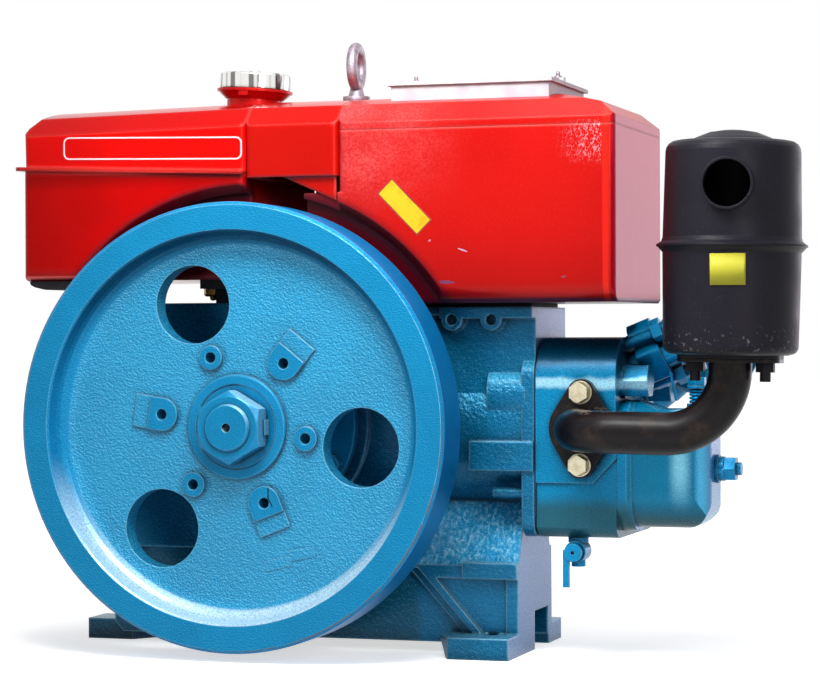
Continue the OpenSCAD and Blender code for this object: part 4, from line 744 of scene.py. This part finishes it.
def turned(bm, profile, place, axis, sides, turn=0.0):
    """A turned solid of (radius, height) pairs about an axis from place. It may end in a point."""
    axis = Vector(axis).normalized()
    side = axis.orthogonal().normalized()
    up = axis.cross(side)
    spokes = [side * cos(a) + up * sin(a) for a in (turn + tau * i / sides for i in range(sides))]
    rings = [[bm.verts.new(Vector(place) + axis * height + spoke * radius) for spoke in spokes]
             for radius, height in profile if radius]
    skin(bm, rings)
    bm.faces.new(rings[0])
    last = rings[-1]
    end_radius, end_height = profile[-1]
    if end_radius:
        bm.faces.new(last)
        return
    tip = bm.verts.new(Vector(place) + axis * end_height)
    for i in range(sides):
        bm.faces.new((last[i], last[(i + 1) % sides], tip))


def bolt(bm, place, axis, flats, head, turn):
    """A hexagon head with a chamfered, slightly hollow top."""
    flat_r = flats / 2
    corner = flat_r / cos(pi / 6)
    turned(bm, [(corner, -0.0005), (corner, head * 0.84)], place, axis, 6, turn)
    turned(bm, [(flat_r * 1.06, head * 0.80), (flat_r * 0.90, head), (flat_r * 0.55, head),
                (flat_r * 0.5, head * 0.90), (0.0, head * 0.90)], place, axis, 24)


def bolts(name, places, axis, m, flats, head):
    """One piece of several bolts, each turned a little further than the last."""
    def make(bm):
        for i, place in enumerate(places):
            bolt(bm, place, axis, flats, head, turn=0.4 + 1.3 * i)
    return piece(name, make, m)


def rounded_rect(width, height, radius, steps=8):
    """Corner-rounded outline in a plane, centred."""
    out = []
    for cx, cy, start in ((1, 1, 0.0), (-1, 1, 90.0), (-1, -1, 180.0), (1, -1, 270.0)):
        for i in range(steps + 1):
            a = radians(start + 90.0 * i / steps)
            out.append((cx * (width / 2 - radius) + radius * cos(a),
                        cy * (height / 2 - radius) + radius * sin(a)))
    return out


def front_plate(bm, middle, size, turn, corner, thick):
    """A thin upright plate with rounded corners, which stands out to the front from its middle's y."""
    x, y, z = middle
    outline = [(x + u * cos(turn) - v * sin(turn), y, z + u * sin(turn) + v * cos(turn))
               for u, v in rounded_rect(*size, corner, 3)]
    slab(bm, outline, FRONT, thick)


# ---------------------------------------------------------------- pieces
def tank_front_outline(m):
    """The plain rounded line on the tank's front, with nothing inside it.

    The bridge cover's front is flush with the tank's, whose own box takes in the lip of its seam.
    """
    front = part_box("bridge_cover")[0].y
    left, right = -0.1595, -0.0050
    mid_z, tall = 0.2211, 0.0182
    drop = -0.0033
    line = 0.0012
    sunk, proud = front + 0.0005, front - 0.0002
    wide = right - left
    outer = rounded_rect(wide, tall, 0.0050)
    inner = rounded_rect(wide - 2 * line, tall - 2 * line, 0.0040)

    def make(bm):
        rings = [[bm.verts.new(((left + right) / 2 + u, y, mid_z + v + drop * u / wide)) for u, v in shape]
                 for shape, y in ((outer, sunk), (outer, proud), (inner, proud), (inner, sunk))]
        skin(bm, rings + rings[:1])
    return piece("tank_front_outline", make, m)


def hopper_sticker(yellow, brown):
    """A plain yellow sticker, aslant over the wheel's arch, with a thin brown edge."""
    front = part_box("hopper_shell")[0].y
    x, z = 0.1297, 0.1704
    turn = radians(-45.5)
    wide, tall, rim = 0.0440, 0.0150, 0.0011
    corner, thick = 0.0006, 0.0005

    def make_edge(bm):
        front_plate(bm, (x, front + 0.0004, z), (wide + 2 * rim, tall + 2 * rim), turn, corner, thick)

    def make_face(bm):
        front_plate(bm, (x, front + 0.0003, z), (wide, tall), turn, corner, thick)
    piece("hopper_sticker_edge", make_edge, brown)
    piece("hopper_sticker", make_face, yellow)


def silencer_sticker(m):
    """A plain yellow square wrapped on the silencer's side."""
    low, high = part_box("silencer_lower")
    cx, cy = (low.x + high.x) / 2, (low.y + high.y) / 2
    mid, half = radians(-90 + 7.0), radians(14.4)
    bottom, top = 0.1062, 0.1290
    radius, taper = 0.0509, 0.0005
    steps = 16
    angles = [mid - half + 2 * half * i / steps for i in range(steps + 1)]

    def make(bm):
        under, over = [[bm.verts.new((cx + r * cos(a), cy + r * sin(a), z)) for a in angles]
                       for z, r in ((bottom, radius), (top, radius + taper))]
        for i in range(steps):
            bm.faces.new((under[i], under[i + 1], over[i + 1], over[i]))
    obj = piece("silencer_sticker", make, m)
    mod = obj.modifiers.new("thick", "SOLIDIFY")
    mod.thickness = 0.0004
    mod.offset = 1.0
    return obj


def wheel_cast_pad(m):
    """Two low plain cast pads on the web, below the lug."""
    hub_to_web, sunk = 0.022, 0.0004
    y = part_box("flywheel")[0].y + hub_to_web + sunk
    pads = ((0.0330, -0.1062, 0.0212, 13.0), (0.0530, -0.0980, 0.0218, 10.5))

    def make(bm):
        for x, z, wide, turn in pads:
            front_plate(bm, (x, y, z), (wide, 0.0085), radians(turn), 0.0008, 0.0009)
    return piece("wheel_cast_pad", make, m, "flywheel_set", bevel=0.0003)


def washer_bead(m):
    """The bead of paint that fills the line round the tab washer."""
    sides = 96
    section = [(0.0323, 0.0013), (0.0327, 0.0008), (0.0333, 0.0006), (0.0337, -0.0001), (0.0337, 0.0020),
               (0.0323, 0.0020)]

    def make(bm):
        rings = [[bm.verts.new((r * cos(tau * i / sides), y, r * sin(tau * i / sides))) for r, y in section]
                 for i in range(sides)]
        skin(bm, rings + rings[:1])
    return piece("washer_bead", make, m, "flywheel_set")


def cap_tab(m):
    """The small tab that stands up in front of the cap."""
    low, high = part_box("filler_neck")
    cap_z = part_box("fuel_cap")[0].z
    x = (low.x + high.x) / 2 + 0.001
    y = low.y + 0.001
    half, deep = 0.0040, 0.004

    def make(bm):
        block(bm, (x - half, y, cap_z - 0.0048), (x + half, y + deep, cap_z + 0.0006))
    return piece("cap_tab", make, m, bevel=0.0005)


def gear_cover_bolts(m):
    """Small hexagon bolts round the gear case's flange."""
    flange = 0.009
    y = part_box("gear_case_cover")[0].y + flange
    # x and z in millimetres: along the cover's big lobe, and on an arc round the starting shaft's lobe
    big_lobe = [(10, 88), (55, 88), (-55, 78), (0, -88.5), (44, -76.5), (-57, -67.8), (-85.5, -23),
                (-118.3, 30), (-101, 67)]
    cx, cz, arc_r = 92, 24, 68.3
    arc = [(cx + arc_r * cos(radians(a)), cz + arc_r * sin(radians(a))) for a in (62, 20, -20, -58)]
    places = [(x / 1000, y, z / 1000) for x, z in big_lobe + arc]
    return bolts("gear_cover_bolts", places, REAR, m, flats=0.0068, head=0.0042)


def end_cover_bolts(m):
    """Three bolts down each side of the end cover."""
    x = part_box("end_cover")[0].x
    columns, rows = (0.108, 0.186), (-0.100, -0.035, 0.030)
    places = [(x, y, z) for y in columns for z in rows]
    return bolts("end_cover_bolts", places, LEFT, m, flats=0.010, head=0.0045)


def lid_studs(m):
    """The two small studs that stand on the hopper's lid."""
    low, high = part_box("hopper_lid")
    mid = (low.y + high.y) / 2
    profile = [(0.0030, -0.0008), (0.0030, 0.0012), (0.0016, 0.0016), (0.0016, 0.0042), (0.0010, 0.0048)]

    def make(bm):
        for x in (low.x + 0.006, high.x - 0.010):
            turned(bm, profile, (x, mid, high.z), UP, 20)
    return piece("lid_studs", make, m)


def tank_plug(m):
    """The small plug under the tank that shows through the wheel: a washer, a hexagon and a spout."""
    place = (-0.067, 0.120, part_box("tank_lower")[0].z)

    def make(bm):
        turned(bm, [(0.0095, 0.0), (0.0095, -0.0022), (0.0060, -0.0030), (0.0060, -0.0046)], place, UP, 28)
        turned(bm, [(0.0082, -0.0044), (0.0082, -0.0110)], place, UP, 6, 0.3)
        turned(bm, [(0.0076, -0.0108), (0.0062, -0.0122), (0.0030, -0.0122), (0.0024, -0.0150),
                    (0.0012, -0.0156)], place, UP, 24)
    return piece("tank_plug", make, m, bevel=0.0003)


def return_pipe(m):
    """The thin pipe from the injector down to the rocker cover."""
    y = 0.112
    route = [(0.3206, y, 0.0415), (0.3222, y, 0.0340), (0.3240, y, 0.0270), (0.3252, y, 0.0195)]
    return tube("injector_return_pipe", route, 0.0010, m)


def make_pieces(mats):
    tank_front_outline(mats["line"])
    hopper_sticker(mats["sticker"], mats["sticker_edge"])
    silencer_sticker(mats["lemon"])
    wheel_cast_pad(mats["wheel"])
    cap_tab(mats["neck"])
    washer_bead(mats["hub"])
    gear_cover_bolts(mats["hub"])
    end_cover_bolts(mats["hub"])
    lid_studs(mats["forged"])
    tank_plug(mats["brass"])
    return_pipe(mats["fitting"])


# ---------------------------------------------------------------- stage
WHITE = (1.0, 1.0, 1.0, 1.0)


def seen_rays(tree):
    """1 for the rays that see the pale surroundings: camera, glossy and transmission."""
    path = add_node(tree, "LightPath")
    value = path.outputs["Is Camera Ray"]
    for name in ("Is Glossy Ray", "Is Transmission Ray"):
        value = add_node(tree, "Math", {0: value, 1: path.outputs[name]}, operation="MAXIMUM").outputs[0]
    return value


def make_floor():
    """The floor sends back light as a grey one, and shows as a pale one with the object's shadow."""
    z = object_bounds()[0].z
    half = 12.0
    data = bpy.data.meshes.new("floor")
    data.from_pydata([(-half, -half, z), (half, -half, z), (half, half, z), (-half, half, z)], [],
                     [(0, 1, 2, 3)])
    floor = bpy.data.objects.new("floor", data)
    bpy.context.scene.collection.objects.link(floor)
    material = bpy.data.materials.new("floor")
    data.materials.append(material)
    material.use_nodes = True
    tree = material.node_tree
    tree.nodes.clear()
    grey = add_node(tree, "BsdfDiffuse", {0: (0.42, 0.42, 0.42, 1.0)})
    lit = add_node(tree, "BsdfDiffuse", {0: (0.9, 0.9, 0.9, 1.0)})
    place = add_node(tree, "TexCoord").outputs["Object"]
    away = add_node(tree, "VectorMath", {0: place}, operation="LENGTH").outputs["Value"]
    strength = add_node(tree, "MapRange", {"Value": away, "From Min": 0.25, "From Max": 1.1,
                                           "To Min": 0.62, "To Max": 1.0}).outputs[0]
    glow = add_node(tree, "Emission", {0: WHITE, 1: strength})
    pale = add_node(tree, "AddShader", {0: lit.outputs[0], 1: glow.outputs[0]})
    shown = add_node(tree, "MixShader", {0: seen_rays(tree), 1: grey.outputs[0], 2: pale.outputs[0]})
    add_node(tree, "OutputMaterial", {0: shown.outputs[0]})


def make_world():
    """White for the camera and for reflections, and a dim soft light on the object."""
    world = bpy.data.worlds.new("studio")
    bpy.context.scene.world = world
    world.use_nodes = True
    tree = world.node_tree
    tree.nodes.clear()
    soft = add_node(tree, "Background", {0: (0.93, 0.96, 1.0, 1.0), 1: 0.14})
    white = add_node(tree, "Background", {0: WHITE, 1: 1.0})
    shown = add_node(tree, "MixShader", {0: seen_rays(tree), 1: soft.outputs[0], 2: white.outputs[0]})
    add_node(tree, "OutputWorld", {0: shown.outputs[0]})


def lamp(name, place, aim, size, power, tint=(1.0, 1.0, 1.0)):
    """A soft rectangular lamp of size metres and power watts, turned to aim."""
    data = bpy.data.lights.new(name, "AREA")
    data.shape = "RECTANGLE"
    data.size, data.size_y = size
    data.energy = power
    data.color = tint
    obj = bpy.data.objects.new(name, data)
    bpy.context.scene.collection.objects.link(obj)
    obj.location = place
    obj.rotation_mode = "QUATERNION"
    obj.rotation_quaternion = (Vector(aim) - Vector(place)).to_track_quat("-Z", "Y")


def make_lamps():
    lamp("key_front", (0.17, -0.35, 0.56), (0.03, 0.03, 0.05), (0.40, 0.25), 6.8)
    lamp("side_front", (1.20, -1.30, 0.55), (0.15, 0.05, -0.05), (0.6, 0.6), 6.2)
    lamp("top", (0.15, 0.1, 1.8), (0.12, 0.1, 0.1), (1.2, 0.8), 9.0)
    lamp("rim_right", (1.15, 2.0, 0.35), (0.25, 0.1, 0.03), (1.3, 0.9), 5.5, (0.95, 0.84, 1.0))
    lamp("fill_front", (-0.45, -1.6, 1.05), (0.05, 0.0, 0.1), (1.0, 0.6), 3.0)


# ---------------------------------------------------------------- the scene
make_camera()
materials = make_materials()
dress_nodes(materials)
make_pieces(materials)
make_floor()
make_world()
make_lamps()
bpy.context.scene.view_settings.view_transform = "Standard"
